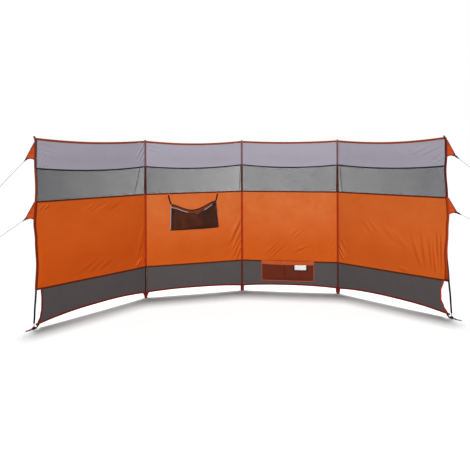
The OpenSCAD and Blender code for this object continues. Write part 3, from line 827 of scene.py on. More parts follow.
def ribbed_tape(name, colour, dark, stitch, width=0.0, rows=(0.0,)):
    """Ribbed tape with rows of lockstitch, each at a share of the width. Ribs of 0.8 mm and stitches of
    3 mm are drawn coarser."""
    material, tree = surface(name)
    flat = add(tree, "TexCoord")["UV"]
    place = add(tree, "SeparateXYZ", {"Vector": flat})
    ribs = add(
        tree, "TexWave", {"Vector": flat, "Scale": wave_period / rib_pitch}, bands_direction="Y")["Fac"]
    cloud = add(tree, "TexNoise", {"Vector": flat, "Scale": 1 / 0.05, "Detail": 4.0})["Fac"]
    dye = add(tree, "Mix", {0: cloud, 6: paint(dark), 7: paint(colour)}, data_type="RGBA")[2]
    beat = add(tree, "Math", {0: place["Y"], 1: stitch_pitch}, operation="MODULO")[0]
    dash = add(tree, "Math", {0: beat, 1: stitch_pitch * 0.62}, operation="LESS_THAN")[0]
    sewn = 0.0
    for row in rows:
        near = add(tree, "Math", {0: place["X"], 1: row * width, 2: stitch_half}, operation="COMPARE")[0]
        both = add(tree, "Math", {0: near, 1: dash}, operation="MULTIPLY")[0]
        sewn = add(tree, "Math", {0: sewn, 1: both}, operation="MAXIMUM")[0]
    tone = add(tree, "Mix", {0: sewn, 6: dye, 7: paint(stitch)}, data_type="RGBA")[2]
    height = add(tree, "Math", {0: ribs, 1: sewn}, operation="ADD")[0]
    bump = add(tree, "Bump", {"Height": height, "Strength": 0.5, "Distance": 0.0005})["Normal"]
    fill(tree, "Principled BSDF", {
        "Base Color": tone, "Roughness": 0.68, "Normal": bump, "Specular IOR Level": 0.12})
    return material


def bay_tape(bm, bay, path, width, shift=0.0, steps=64):
    """Sews a tape along a path of (along, up) in a bay, moved sideways by shift."""
    points = [Vector(path(share)) for share in shares(steps)]
    spine, sides = [], []
    for k, point in enumerate(points):
        ahead = (points[min(k + 1, steps)] - points[max(k - 1, 0)]).normalized()
        side = Vector((-ahead.y, ahead.x))
        at = point + side * shift
        spine.append(on_cloth(bay, at.x, at.y))
        sides.append(along[bay] * side.x + upward * side.y)
    swept(bm, stadium(width, tape_thick, 4), spine, sides)


def edge_path(bay, edge, sides):
    """A path along an edge given by share, from one side edge of the bay's cloth to the other."""
    left = sides[0](bay, edge(bay, 0))
    right = sides[1](bay, edge(bay, 1))
    return lambda share: (mixed(left, right, share), edge(bay, share))


two_rows = (-0.28, 0.28)
top_tape = ribbed_tape("top_edge_tape", "#96401f", "#85351a", "#b06040", top_tape_w, two_rows)
hem_tape = ribbed_tape("hem_tape", "#74211a", "#621a14", "#8e3a2a", hem_tape_w, two_rows)
charcoal_tape = ribbed_tape("charcoal_seam_tape", "#26272c", "#1f2025", "#3b3c42", window_tape_w, two_rows)
brown_tape = ribbed_tape("brown_seam_tape", "#5e230e", "#501d0b", "#783b22", main_tape_w, two_rows)
dark_tape = ribbed_tape("dark_seam_tape", "#57220c", "#491b0a", "#70381f", skirt_tape_w, two_rows)

for name, slot, node, tape, width, edge, sides, shift in (
    ("top_edge_binding", "binding", "top_binding", top_tape, top_tape_w, top_edge, sleeve_edges, -0.5),
    (
        "window_seam_tape", "seam_tape", "seam_tapes", charcoal_tape, window_tape_w, window_edge,
        sleeve_edges, 0),
    (
        "main_seam_tape", "seam_tape", "seam_tapes", brown_tape, main_tape_w, flat_edge(main_seam),
        sleeve_edges, 0),
    (
        "skirt_seam_tape", "seam_tape", "seam_tapes", dark_tape, skirt_tape_w, flat_edge(skirt_seam),
        sleeve_edges, 0),
    ("hem_edge_binding", "binding", "hem_binding", hem_tape, hem_tape_w, hem_edge, skirt_edges, 0.5),
):
    bm = bmesh.new()
    for bay in range(4):
        bay_tape(bm, bay, edge_path(bay, edge, sides), width, shift * width)
    piece(name, bm, [tape], slot, node)


def skirt_side(bay, side, width):
    """The path of a tape on a skirt's left edge, where side is 1, or its right edge, where it is -1."""
    low = hem_edge(bay, 0 if side > 0 else 1)
    edge = skirt_left if side > 0 else skirt_right
    return lambda share: (
        edge(bay, mixed(low, skirt_seam, share)) + side * width / 2, mixed(low, skirt_seam, share))


side_tapes = {
    "left_end": (("#7d2320", "#6a1b19", "#96403a"), [(0, 1, 0.015)]),
    "right_end": (("#a93a1f", "#942f17", "#c26040"), [(3, -1, 0.014)]),
    "inner_red": (
        ("#74403a", "#64342f", "#8a564f"), [(1, 1, 0.016), (1, -1, 0.010), (2, 1, 0.006), (2, -1, 0.010)]),
    "inner_grey": (("#5b5654", "#4f4a49", "#6c6765"), [(0, -1, 0.008), (3, 1, 0.008)]),
}
for name, (colours, edges) in side_tapes.items():
    bm = bmesh.new()
    for bay, side, width in edges:
        bay_tape(bm, bay, skirt_side(bay, side, width), width, steps=24)
    tape = ribbed_tape(f"skirt_side_tape_{name}", *colours)
    piece(f"skirt_side_binding_{name}", bm, [tape], "binding", "skirt_edge_binding")

# Inner foot webbing
# Red webbing cups at the three inner poles. Each wraps a pole's foot and is sewn over the corners of the
# two hems. A red-brown tape runs up the front of the centre pole and the one right of it.
cup_foot = 0.0006
cup_top = hem_inner + 0.014
cup_depth = 0.0128
cup_top_depth = 0.0085
cup_wall = 0.0014
cup_girth = 0.11
cup_widths = {
    1: [(0.0, 0.012), (cup_top, 0.031)],
    2: [(0.0, 0.0165), (0.006, 0.0185), (cup_top, 0.0195)],
    3: [(0.0, 0.013), (0.012, 0.019), (0.030, 0.022), (cup_top, 0.023)],
}
pole_tape_w = 0.012
pole_tape_thick = 0.002
pole_tape_off = 0.0016
pole_tape_lap = 0.012
pole_tape_stop = 0.008
web_ribs = 0.0024


def webbing(name, colour, dark):
    """Flat woven webbing: a herringbone of 1.2 mm, drawn at twice that."""
    material, tree = surface(name)
    flat = add(tree, "TexCoord")["UV"]
    lean = add(tree, "Mapping", {"Vector": flat, "Rotation": (0, 0, math.radians(38))})[0]
    ribs = add(tree, "TexWave", {"Vector": lean, "Scale": wave_period / web_ribs})["Fac"]
    cloud = add(tree, "TexNoise", {"Vector": flat, "Scale": 1 / 0.02, "Detail": 4.0})["Fac"]
    worn = add(tree, "Math", {0: ribs, 1: cloud}, operation="MULTIPLY")[0]
    tone = add(tree, "Mix", {0: worn, 6: paint(dark), 7: paint(colour)}, data_type="RGBA")[2]
    bump = add(tree, "Bump", {"Height": ribs, "Strength": 0.5, "Distance": 0.0005})["Normal"]
    fill(tree, "Principled BSDF", {
        "Base Color": tone, "Roughness": 0.72, "Normal": bump, "Specular IOR Level": 0.12})
    return material


def strap(name, spine, side, width, thick, materials, slot, node, steps=3, crisp=60, pick=None):
    """A length of tape or webbing along a spine."""
    bm = bmesh.new()
    swept(bm, stadium(width, thick, steps), spine, side)
    piece(name, bm, materials, slot, node, crisp=crisp, pick=pick)


red_webbing = webbing("dark_red_webbing", "#93261e", "#5d1512")
brown_webbing = webbing("red_brown_pole_tape", "#54302a", "#3f211c")
black_webbing = webbing("black_webbing", "#2b2422", "#151112")

for pole in (1, 2, 3):
    def cup_place(u, v):
        z = mixed(cup_foot, cup_top, v)
        side, lift = rounded(-math.tau * u, 0.8, 0.8)
        bay_way = along[pole] if side > 0 else along[pole - 1]
        away = bay_way * eased(cup_widths[pole], z) * side
        away += facing[pole] * mixed(cup_depth, cup_top_depth, v) * lift
        return feet[pole] + away + upward * z, (u * cup_girth, z)

    bm = bmesh.new()
    laid(bm, 40, 16, cup_place)
    made = piece(f"foot_cup_{pole + 1}", bm, [red_webbing], "foot_webbing", "inner_foot_webbing", crisp=60)
    thickened(made, cup_wall, offset=1.0)

for pole in (2, 3):
    low, high = cup_top - pole_tape_lap, skirt_seam - pole_tape_stop
    heights = [mixed(low, high, share) for share in shares(12)]
    spine = [pole_line(pole, z) + facing[pole] * (pole_r + pole_tape_off) for z in heights]
    strap(
        f"pole_tape_{pole + 1}", spine, across[pole], pole_tape_w, pole_tape_thick, [brown_webbing],
        "foot_webbing", "inner_foot_webbing", steps=4, crisp=35)

# End foot straps
# At each end pole a black webbing strap comes from the hem's corner and goes round the foot. It ends in a
# loose tail on the ground: dark red on the left, black with a grey end on the right.
ring_h = 0.015
strap_thick = 0.0018
ring_gap = 0.0004
ring_r = foot_r + strap_thick / 2 + ring_gap
ring_slack = 0.0022
ring_off_floor = 0.0008
tail_w = 0.018
strap_reach = 0.040
corner_out = 0.004
lead_in = 0.008
lead_up = 0.010
tail_tuck = 0.001
tail_up = 0.0024
tail_start_up = 0.009
tail_end_up = 0.004
tail_wander = 0.006
tail_end_share = 0.4
tail_lengths = {0: 0.054, 4: 0.070}
grey_webbing = webbing("grey_webbing", "#8b8886", "#6e6b6a")
tail_cloths = {0: [red_webbing, red_webbing], 4: [black_webbing, grey_webbing]}

for pole, bay, side in ((0, 0, 1), (4, 3, -1)):
    foot, inward, ahead = feet[pole], along[bay] * side, front[bay]
    pole_x = left_axis(0, hem_end) if side > 0 else right_axis(3, hem_end)
    corner = on_bay(bay, pole_x + side * strap_reach, hem_end + bind_w / 2, corner_out)

    # Strap from the hem's corner, then once round the foot
    start = foot + inward * (ring_r + lead_in) + ahead * ring_r * 0.6 + upward * lead_up
    spine = [corner, corner.lerp(start, 0.5), start]
    for share in shares(32):
        turn = math.radians(60 - 420 * share)
        reach = ring_r + ring_slack * (1 - share)
        around = (inward * math.cos(turn) + ahead * math.sin(turn)) * reach
        spine.append(foot + around + upward * (ring_h / 2 + ring_off_floor))
    strap(
        f"end_foot_strap_{pole + 1}", spine, upward, ring_h, strap_thick, [black_webbing],
        "foot_webbing", "end_foot_straps")

    # Loose tail, lying on the ground with its end turned up a little
    spine = []
    for share in shares(12):
        lift = tail_up + tail_start_up * (1 - share) ** 2 + tail_end_up * share ** 3
        wander = ahead * (tail_wander * math.sin(2.2 * share))
        reach = ring_r - tail_tuck + tail_lengths[pole] * share
        spine.append(foot - inward * reach + wander + upward * lift)
    strap(
        f"strap_tail_{pole + 1}", spine, ahead, tail_w, strap_thick, tail_cloths[pole],
        "foot_webbing", "end_foot_straps",
        pick=lambda at: (foot - at).dot(inward) > ring_r + tail_end_share * tail_lengths[pole])

# Guy tabs
# Doubled orange polyester on the end sleeves, two at each end, bound in dark red. Their lower edges are
# scooped, and a dark webbing loop at each tip takes the guy line.
tab_h = 0.150
tab_outs = {0: 0.062, 4: 0.060}
tip_rises = {0: (0.013, 0.008), 4: (0.010, 0.018)}
tab_scoop = 0.008
tab_tops = {0: (cloth_top - 0.033, main_seam), 4: (cloth_top - 0.020, main_seam)}
tab_thick = 0.0016
tab_hem = 0.010
tab_root_out = 0.0078
tab_top_w = 0.003
tab_fold = 0.0022
tab_ripple = 0.0016
tab_web_w = 0.017
tab_web_thick = 0.0034
tab_web_root = 0.012
tab_web_ls = {0: 0.020, 4: 0.036}
tab_bind_w = 0.008
tab_bind_thick = 0.0032
tip_share = 0.1
sleeve_r = 0.0101
peg_r = 0.0035
hook_r = 0.009
line_r = 0.0019
line_on_peg = (0.030, 0.015)
end_out = {0: Vector((-1, 0, 0)), 4: Vector((1, 0, 0))}
hook_ends = {0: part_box("guy_pegs")[0].x, 4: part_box("guy_pegs")[1].x}
end_pegs = {
    pole: Vector((hook_ends[pole], feet[pole].y, 0)) - out * (2 * hook_r + peg_r)
    for pole, out in end_out.items()}
end_guys = [
    (0, 0, "left_upper"), (0, 1, "left_lower"), (4, 0, "right_upper"), (4, 1, "right_lower"),
]


def tab_tip(pole, level):
    middle_z = tab_tops[pole][level] - tab_h / 2
    root = heads[pole] + outward[pole] * lean_out(pole, middle_z)
    tip_z = middle_z - tab_h / 2 + tip_rises[pole][level]
    return root + end_out[pole] * (sleeve_r + tab_outs[pole]) + upward * tip_z


def line_end(pole, level):
    """Where an end guy line meets its peg, on the side towards the pole."""
    return end_pegs[pole] - end_out[pole] * (peg_r + line_r) + upward * line_on_peg[level]


tab_cloth = woven_cloth("tab_polyester", "#c84a16", "#cf511c", "#be4110", 0.58, 0.02)
tab_binding = ribbed_tape("tab_binding", "#641c14", "#541610", "#833225")
maroon_webbing = webbing("maroon_webbing", "#5e1418", "#360a0d")

for pole, level, name in end_guys:
    out = end_out[pole]
    tip = tab_tip(pole, level)
    tab_out = tab_outs[pole]
    pull = (line_end(pole, level) - tip).normalized()
    square = Vector((-pull.z, 0, pull.x)) * out.x
    high_tip = tip + square * tab_web_w / 2
    low_tip = tip - square * tab_web_w / 2

    def tab_root(v):
        return pole_line(pole, tab_tops[pole][level] - tab_h * (1 - v)) + out * tab_root_out

    def tab_edge(v):
        """The outer edge, up the tip and then along the slope to the sleeve."""
        if v < tip_share:
            return low_tip.lerp(high_tip, v / tip_share)
        return high_tip.lerp(tab_root(1) + out * tab_top_w, (v - tip_share) / (1 - tip_share))

    def tab_point(u, v):
        straight = tab_root(0).lerp(low_tip, u)
        top = tab_root(1) + out * tab_top_w * u
        level_edges = mixed(straight + upward * tab_scoop * dip(u), top, v)
        side_edges = tab_root(v).lerp(tab_edge(v), u)
        corners = mixed(straight, top, v)
        fold = (tab_fold * math.sin(9 * u + 4 * v + pole) + tab_ripple * math.sin(17 * v)) * dip(u)
        return level_edges + side_edges - corners + Vector((0, -fold, 0)), (u * tab_out, v * tab_h)

    cloth_sheet(
        f"guy_tab_{name}", (26, 30), tab_point, [tab_cloth], "orange_cloth", "end_guy_tabs", tab_thick,
        turned=True, flat=(tab_out + tab_hem, tab_h + tab_hem), held="stretched",
        rests_on=[f"sleeve_{pole + 1}", "guy_tab_webbing"],
        area=0.5 * (tab_out + tab_hem) * (tab_h + tab_web_w))

    # Binding folded over the sloping and the scooped edges
    bm = bmesh.new()
    binding = stadium(tab_bind_w, tab_bind_thick)
    swept(bm, binding, [tab_point(1.0, share)[0] for share in shares(20)], out)
    swept(bm, binding, [tab_point(share, 0.0)[0] for share in shares(20)], upward)
    piece(f"tab_binding_{name}", bm, [tab_binding], "orange_cloth", "end_guy_tabs", crisp=60)

    # Webbing loop at the tip, folded double
    spine = [tip + pull * mixed(-tab_web_root, tab_web_ls[pole], share) for share in shares(8)]
    strap(
        f"tab_webbing_{name}", spine, square, tab_web_w, tab_web_thick, [maroon_webbing],
        "guy_webbing", "guy_tab_webbing", crisp=35)

# Rear guy loops
# A loop of dark red webbing on the back of each inner sleeve, near the top. It is sewn to the sleeve and
# takes the rear guy line.
loop_w = 0.010
loop_h = 0.026
loop_out = 0.030
loop_z = cloth_top - 0.050
loop_thick = 0.0016
loop_root = 0.0085
loop_bend = 0.0045
rear_on_peg = 0.024
rear_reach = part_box("guy_pegs")[1].y - 2 * hook_r - peg_r
behind = [-way for way in facing]


def loop_tip(pole):
    return feet[pole] + behind[pole] * (sleeve_r + loop_out) + upward * (loop_z - loop_h / 2)


for pole in (1, 2, 3):
    root = feet[pole] + behind[pole] * loop_root
    bend = loop_tip(pole) - behind[pole] * loop_bend
    spine = [root + upward * (loop_z + loop_h / 2)]
    for share in shares(24):
        turn = math.radians(150 - 300 * share)
        spine.append(bend + (behind[pole] * math.cos(turn) + upward * math.sin(turn)) * loop_bend)
    spine.append(root + upward * (loop_z - loop_h / 2))
    strap(
        f"rear_loop_{pole + 1}", spine, across[pole], loop_w, loop_thick, [red_webbing],
        "guy_webbing", "rear_guy_loops")

# Guy lines
# Braided polyester cord, grey and about 4 mm thick at the ends, dark and twice that behind. Each is whipped
# at its webbing, goes through a runner and round its peg, and comes back to the runner, which keeps it taut.
rear_line_r = 0.0040
line_gap = 0.0003
line_lap = 0.004
strand_end = 0.02
runner_at = 0.400
runner_l = 0.038
strand_share = 2.74
knot_l = 0.016
knot_off = 0.002
knot_turns = 4
knot_steps = 12
braid_pitch = 0.006


def braided_cord(name, colour, dark):
    """Braided cord: crossing plaits of 2 mm along the cord, drawn coarser."""
    material, tree = surface(name)
    flat = add(tree, "TexCoord")["UV"]
    plaits = 0.0
    for lean in (40, -40):
        turned = add(tree, "Mapping", {"Vector": flat, "Rotation": (0, 0, math.radians(lean))})[0]
        plait = add(tree, "TexWave", {"Vector": turned, "Scale": wave_period / braid_pitch})["Fac"]
        plaits = add(tree, "Math", {0: plaits, 1: plait}, operation="MAXIMUM")[0]
    tone = add(tree, "Mix", {0: plaits, 6: paint(dark), 7: paint(colour)}, data_type="RGBA")[2]
    bump = add(tree, "Bump", {"Height": plaits, "Strength": 0.6, "Distance": 0.0005})["Normal"]
    fill(tree, "Principled BSDF", {"Base Color": tone, "Roughness": 0.7, "Normal": bump})
    return material


def round_section(radius, sides=8):
    """Points round a cord's section with their place round it, the first repeated as the last."""
    turns = [math.tau * share for share in shares(sides)]
    return [(radius * math.cos(turn), radius * math.sin(turn), radius * turn) for turn in turns]


def cord(bm, spine, radius):
    """Sweeps a round cord along a spine, carrying its sides along so that it doesn't twist."""
    side = Vector((0.31, 0.27, 0.91))
    sides = []
    for k in range(len(spine)):
        ahead = (spine[min(k + 1, len(spine) - 1)] - spine[max(k - 1, 0)]).normalized()
        side = (side - ahead * side.dot(ahead)).normalized()
        sides.append(side)
    swept(bm, round_section(radius), spine, sides)


def line_ways(start, end):
    """The ways along a guy line, level across it and square up from it."""
    way = (end - start).normalized()
    level_side = way.cross(upward).normalized()
    return way, level_side, level_side.cross(way)


def guy_line(bm, start, end, radius):
    """A line from its webbing to its peg, whipped at the top, with a second strand below the runner."""
    way, level_side, lift = line_ways(start, end)
    cord(bm, [start - way * line_lap, start.lerp(end, 0.3), start.lerp(end, 0.7), end], radius)
    helix = []
    for share in shares(knot_turns * knot_steps):
        turn = math.tau * knot_turns * share
        off = (level_side * math.cos(turn) + lift * math.sin(turn)) * (2 * radius)
        helix.append(start + way * (knot_off + knot_l * share) + off)
    cord(bm, helix, radius * 0.9)
    from_runner = end - way * (runner_at + runner_l * 0.3)
    beside = level_side * strand_share * radius
    around = [
        from_runner + beside, from_runner.lerp(end, 0.5) + beside * 0.95, end - way * strand_end + beside]
    reach = peg_r + line_r
    for share in shares(12):
        turn = math.radians(90 - 200 * share)
        around.append(end + way * reach + (level_side * math.sin(turn) + way * math.cos(turn)) * reach)
    cord(bm, around, radius)


grey_cord = braided_cord("grey_braided_cord", "#7c7c7b", "#5a5a59")
dark_cord = braided_cord("dark_braided_cord", "#242424", "#161616")

guys = []
for pole, level, name in end_guys:
    tip, end = tab_tip(pole, level), line_end(pole, level)
    start = tip + (end - tip).normalized() * (tab_web_ls[pole] + line_gap)
    guys.append((name, start, end, line_r, grey_cord, "end_guy_lines"))
for pole in (1, 2, 3):
    end = feet[pole] + behind[pole] * (rear_reach - peg_r - line_r) + upward * rear_on_peg
    guys.append((f"rear_{pole}", loop_tip(pole), end, rear_line_r, dark_cord, "rear_guy_lines"))

for name, start, end, radius, braid, node in guys:
    bm = bmesh.new()
    guy_line(bm, start, end, radius)
    piece(f"guy_cord_{name}", bm, [braid], "guy_line", node, crisp=60)

# Line runners
# Moulded black plates with rounded corners and a narrowed waist. They slide on the guy lines and grip them
# to keep them taut.
runner_w = 0.014
runner_edge = 0.002
runner_waist = 0.22
runner_share = 1.75

for name, start, end, radius, braid, node in guys:
    way, level_side, lift = line_ways(start, end)
    gap = strand_share * radius
    at = end - way * runner_at + level_side * gap / 2
    bm = bmesh.new()
    for vert in bmesh.ops.create_cube(bm, size=1.0)["verts"]:
        vert.co *= Vector((runner_l, gap * runner_share, runner_w))
    bmesh.ops.bevel(
        bm, geom=bm.edges[:], offset=runner_edge, offset_type="OFFSET", affect="EDGES", segments=3,
        profile=0.5, clamp_overlap=True, material=-1)
    for vert in bm.verts:
        waist = 1 - runner_waist * math.cos(math.pi * vert.co.x / runner_l) ** 2
        vert.co = at + way * vert.co.x + level_side * vert.co.y + lift * vert.co.z * waist
    bmesh.ops.recalc_face_normals(bm, faces=bm.faces)
    piece(f"runner_{name}", bm, [moulded_plastic], "runner", "line_runners", crisp=50)

# Guy pegs
# Round zinc-plated steel pegs, driven into the ground and bent over into a hook at the top. The hook points
# away from the line.
peg_h = 0.046
peg_foot = 0.0005
hook_tail = 0.010
peg_places = [(end_pegs[pole], end_out[pole]) for pole in (0, 4)]
peg_places += [(feet[pole] + behind[pole] * rear_reach, behind[pole]) for pole in (1, 2, 3)]

for k, (at, away) in enumerate(peg_places):
    spine = [at + upward * peg_foot, at + upward * peg_h * 0.5]
    for share in shares(16):
        turn = math.pi * share
        spine.append(at + away * hook_r * (1 - math.cos(turn)) + upward * (peg_h + hook_r * math.sin(turn)))
    spine.append(at + away * 2 * hook_r + upward * (peg_h - hook_tail))
    bm = bmesh.new()
    swept(bm, round_section(peg_r, 16), spine, away.cross(upward))
    piece(f"hook_peg_{k + 1}", bm, [zinc_plate], "peg", "guy_pegs", crisp=60)

# Hanging pocket
# A bag of dark knitted mesh hung by two straps from the seam over the second bay's orange panel. Its mouth
# sags open, its sides are bound in grey tape, pale on the left, and its front edge folds down right of its
# middle. Stretches of the mouth's tape are painted dark as shade in the folds of the mouth.
pocket_bay = 1
pocket_x = 0.260
pocket_w = 0.518
left_taper = 0.007
right_taper = 0.024
pocket_top = main_seam - 0.113
pocket_bottom = pocket_top - 0.264
pocket_tilt = 0.008
pocket_rest = 0.0035
pocket_gap = 0.0022
back_dip = 0.078
front_drop = 0.032
corner_rise = 0.013
front_dip = 0.084
mouth_fold = 0.026
mouth_fold_at = 0.57
mouth_fold_w = 0.055
# Stretches of the mouth's tape, as shares of its width, that are painted dark as shade in the mouth's folds
mouth_shaded = (0.36, 0.70)
mouth_shaded_end = 0.86
pocket_bulge = 0.026
pocket_slump = 0.0035
pocket_crumple = 0.004
side_tape_off = 0.001
pocket_tape_w = 0.0075
pocket_tape_thick = 0.003
edge_tape_w = 0.011
fold_tape_thick = 0.004
pocket_net_thick = 0.0006
pocket_flat_h = 0.47
pocket_cut_h = 0.44
back_share = 0.42
front_share = 0.52
fold_sag = 0.005


def pocket_at(u, z):
    """A place along the bay, u across the pocket at height z."""
    rise = (z - pocket_bottom) / (pocket_top - pocket_bottom)
    return mixed(pocket_x + left_taper * rise, pocket_x + pocket_w - right_taper * rise, u)


def tilted(u, z):
    """The pocket hangs a little askew, higher on the right."""
    return z + pocket_tilt * (u - 0.5)


def back_edge(u):
    sag = back_dip * abs(math.sin(math.pi * u ** 0.95)) ** 1.6
    return tilted(u, pocket_top - sag + corner_rise * u)


def front_edge(u):
    """The mouth's front edge, which folds down right of its middle."""
    sag = front_dip * abs(math.sin(math.pi * u ** 1.1)) ** 1.3
    fold = mouth_fold * math.exp(-((u - mouth_fold_at) / mouth_fold_w) ** 2)
    return tilted(u, pocket_top - front_drop * (1 - u) - sag - fold)


def pocket_back(u, z):
    x = pocket_at(u, z)
    return on_cloth(pocket_bay, x, z, pocket_rest), (x, z)


def pocket_front(u, t):
    """The front, t from its bottom fold to its mouth."""
    z = mixed(tilted(u, pocket_bottom), front_edge(u), t)
    x = pocket_at(u, z)
    fullness = 0.30 + 0.70 * math.sin(math.pi * (0.12 + 0.42 * t))
    belly_out = pocket_bulge * math.sin(math.pi * u) ** 0.75 * fullness
    slump = pocket_slump * math.sin(11 * u + 5 * t) * math.sin(math.pi * u)
    crumple = pocket_crumple * math.exp(-((u - 0.55 - 0.1 * (1 - t)) / 0.03) ** 2) * t ** 2
    lift = pocket_rest + pocket_gap + belly_out + slump - crumple
    return on_cloth(pocket_bay, x, z, lift), (x, 2 * pocket_bottom - z)


def pocket_shell(u, v):
    """From the back edge down to the bottom fold, round it and up to the mouth."""
    if v <= back_share:
        return pocket_back(u, mixed(back_edge(u), tilted(u, pocket_bottom), v / back_share))
    if v < front_share:
        share = (v - back_share) / (front_share - back_share)
        back, flat = pocket_back(u, tilted(u, pocket_bottom))
        return back.lerp(pocket_front(u, 0.0)[0], share) - upward * fold_sag * dip(share), flat
    return pocket_front(u, (v - front_share) / (1 - front_share))


pocket_net = knitted_net("dark_pocket_mesh", "#1a1514", 0.105, 0.105, weak=0.015)
pale_tape = ribbed_tape("pale_pocket_tape", "#b3a6ab", "#9c8f94", "#c9bdc2")
mauve_tape = ribbed_tape("mauve_pocket_tape", "#5e4f58", "#4c3f47", "#75656f")
dark_pocket_tape = ribbed_tape("dark_pocket_tape", "#3a2b33", "#2c2027", "#514049")
brown_pocket_tape = ribbed_tape("brown_pocket_tape", "#3f190f", "#30120a", "#5c3021")

cloth_sheet(
    "pocket_bag", (90, 100), pocket_shell, [pocket_net], "pocket_mesh", "hanging_pocket", pocket_net_thick,
    turned=True, flat=(pocket_w, pocket_flat_h), held="hung", rests_on=["pocket_straps", "main_panel_2"],
    area=pocket_w * pocket_cut_h)

for u, name, tape in ((0.0, "left", pale_tape), (1.0, "right", mauve_tape)):
    off = front[pocket_bay] * side_tape_off
    spine = [pocket_front(u, share)[0] + off for share in shares(20)]
    corner = pocket_back(u, back_edge(u))[0]
    spine += [spine[-1].lerp(corner, 0.5) + off, corner]
    strap(
        f"pocket_side_tape_{name}", spine, along[pocket_bay], pocket_tape_w, pocket_tape_thick, [tape],
        "pocket_mesh", "hanging_pocket")


def shaded_stretch(at):
    """Where the mouth's tape is painted dark: painted shade in the folds of the mouth."""
    share = ((at - heads[pocket_bay]).dot(along[pocket_bay]) - pocket_x) / pocket_w
    return mouth_shaded[0] < share < mouth_shaded[1] or share > mouth_shaded_end


strap(
    "pocket_mouth_tape", [pocket_front(share, 1.0)[0] for share in shares(60)], upward, pocket_tape_w,
    pocket_tape_thick, [pale_tape, dark_pocket_tape], "pocket_mesh", "hanging_pocket", pick=shaded_stretch)

bm = bmesh.new()
spine = [pocket_back(share, back_edge(share))[0] for share in shares(60)]
swept(bm, stadium(edge_tape_w, pocket_tape_thick), spine, upward)
spine = [pocket_shell(share, (back_share + front_share) / 2)[0] for share in shares(60)]
swept(bm, stadium(edge_tape_w, fold_tape_thick), spine, upward)
piece("pocket_edge_tape", bm, [brown_pocket_tape], "pocket_mesh", "hanging_pocket", crisp=60)

# Pocket straps: black tape from the pocket's top corners up to orange tabs that are caught in the seam
strap_leans = {0.0: -0.034, 1.0: 0.022}
strap_w = 0.015
hanger_thick = 0.0024
hanger_lift = 0.0040
hanger_overlap = 0.012
hanger_tab_share = 0.26
brown_black_webbing = webbing("brown_black_webbing", "#2c140c", "#170a06")
orange_tape = ribbed_tape("orange_strap_tab", "#c65a26", "#b54e1e", "#d8753f")
bm = bmesh.new()
for u, lean in strap_leans.items():
    low_x = pocket_at(u, pocket_top) + (0.5 - u) * strap_w
    spine = []
    for share in shares(16):
        z = mixed(back_edge(u) - hanger_overlap, main_seam, share)
        spine.append(on_cloth(pocket_bay, low_x + lean * math.sin(math.pi / 2 * share), z, hanger_lift))
    swept(bm, stadium(strap_w, hanger_thick), spine, along[pocket_bay])
piece(
    "pocket_hangers", bm, [brown_black_webbing, orange_tape], "pocket_mesh", "pocket_straps", crisp=60,
    pick=lambda at: at.z > mixed(main_seam, pocket_top, hanger_tab_share))

# Skirt pocket
# A pocket of red-brown mesh sewn on the third bay's skirt, bound in orange tape and stitched down its
# middle. A band of orange cloth runs along its mouth.
apron_bay = 2
apron_x = 0.219
apron_w = 0.567
apron_top = skirt_seam + 0.010
apron_bottom = 0.122
apron_rest = 0.0035
band_bottom = skirt_seam - 0.032
band_lap = 0.002
band_thick = 0.0014
apron_bulge = 0.024
apron_seam = 0.468
apron_pinch = 0.30
apron_pinch_w = 0.018
apron_ripple = 0.0018
apron_tape_w = 0.010
apron_tape_thick = 0.004
stitching_w = 0.006
stitching_thick = 0.0012
over_net = 0.0008
over_band = 0.001


def apron_point(u, z, lift=0.0):
    x = mixed(apron_x, apron_x + apron_w, u)
    t = (z - apron_bottom) / (apron_top - apron_bottom)
    fullness = (0.25 + 0.75 * t) * math.sin(math.pi * u) ** 0.6 * min(1.0, 6 * t + 0.05)
    pinch = 1 - apron_pinch * math.exp(-((x - apron_seam) / apron_pinch_w) ** 2)
    ripple = apron_ripple * math.sin(23 * u + 6 * t) * math.sin(math.pi * u)
    return on_cloth(apron_bay, x, z, apron_rest + apron_bulge * fullness * pinch + ripple + lift), (x, z)


def apron_patch(low, high, lift=0.0, left=0.0, right=1.0):
    """A patch of the pocket between two heights, from a left to a right share of its width."""
    return lambda u, v: apron_point(mixed(left, right, u), mixed(low, high, v), lift)


apron_net = knitted_net("red_brown_pocket_mesh", "#662714", 0.38, 0.38, weak=0.05)
band_cloth = woven_cloth("mouth_band_polyester", "#c65626", "#ce5e2d", "#bb4d1f", 0.6, 0.02)
apron_tape = ribbed_tape("apron_tape", "#a4583c", "#8d4730", "#c07a5c")

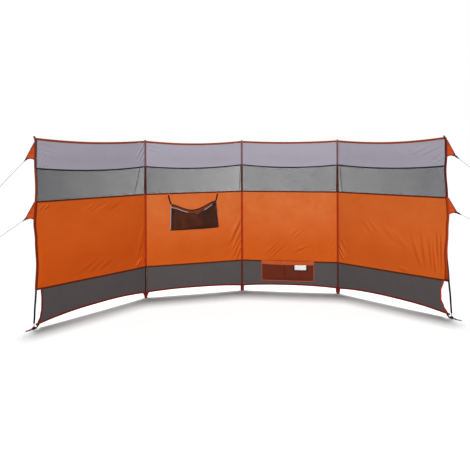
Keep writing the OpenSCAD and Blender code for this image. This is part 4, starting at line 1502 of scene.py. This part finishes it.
cloth_sheet(
    "apron_net", (90, 40), apron_patch(apron_bottom, band_bottom), [apron_net],
    "pocket_mesh", "skirt_pocket", pocket_net_thick, flat=(apron_w, band_bottom - apron_bottom),
    held="stretched", rests_on=["skirt_pocket_binding"])
cloth_sheet(
    "apron_mouth_band", (90, 10), apron_patch(band_bottom - band_lap, apron_top, over_net), [band_cloth],
    "binding", "skirt_pocket_band", band_thick, flat=(apron_w, apron_top - band_bottom + band_lap),
    held="stretched", rests_on=["skirt_pocket_binding"])

bm = bmesh.new()
binding = stadium(apron_tape_w, apron_tape_thick)
for u in (0.0, 1.0):
    heights = [mixed(apron_bottom, apron_top, share) for share in shares(16)]
    swept(bm, binding, [apron_point(u, z, over_band)[0] for z in heights], along[apron_bay])
swept(bm, binding, [apron_point(share, apron_bottom, over_band)[0] for share in shares(60)], upward)
piece("apron_binding", bm, [apron_tape], "binding", "skirt_pocket_binding", crisp=60)

middle = (apron_seam - apron_x) / apron_w
heights = [mixed(apron_bottom, band_bottom, share) for share in shares(16)]
strap(
    "apron_stitching", [apron_point(middle, z, over_net)[0] for z in heights], along[apron_bay],
    stitching_w, stitching_thick, [dark_tape], "pocket_mesh", "skirt_pocket")

# Pocket label
# A blank woven label, white, stitched on a slightly larger dark backing. It sits under the mouth band,
# right of the pocket's middle.
label_x = 0.577
label_w = 0.126
label_h = 0.056
label_margin = 0.010
label_thick = 0.0008
backing_w = label_w + 2.4 * label_margin
backing_lift = 0.0016
label_lift = 0.0026
label_gap = 0.001
white_label = woven_cloth("blank_white_label", "#f3f2f0", "#f8f7f6", "#ecebe9", 0.55, 0.02, thread=0.002)
label_backing = woven_cloth("label_backing", "#2a0e0b", "#321310", "#220a08", 0.7, 0.05)

for name, cloth, slot, x, width, height, gap, lift in (
    (
        "label_backing", label_backing, "pocket_mesh", label_x - label_margin, backing_w,
        label_h + label_margin, 0.0, backing_lift),
    ("blank_label", white_label, "label", label_x, label_w, label_h, label_gap, label_lift),
):
    left = (x - apron_x) / apron_w
    cloth_sheet(
        name, (16, 8),
        apron_patch(band_bottom - height, band_bottom - gap, lift, left, left + width / apron_w),
        [cloth], slot, "pocket_label", label_thick, flat=(width, height), held="stretched",
        rests_on=["skirt_pocket"])
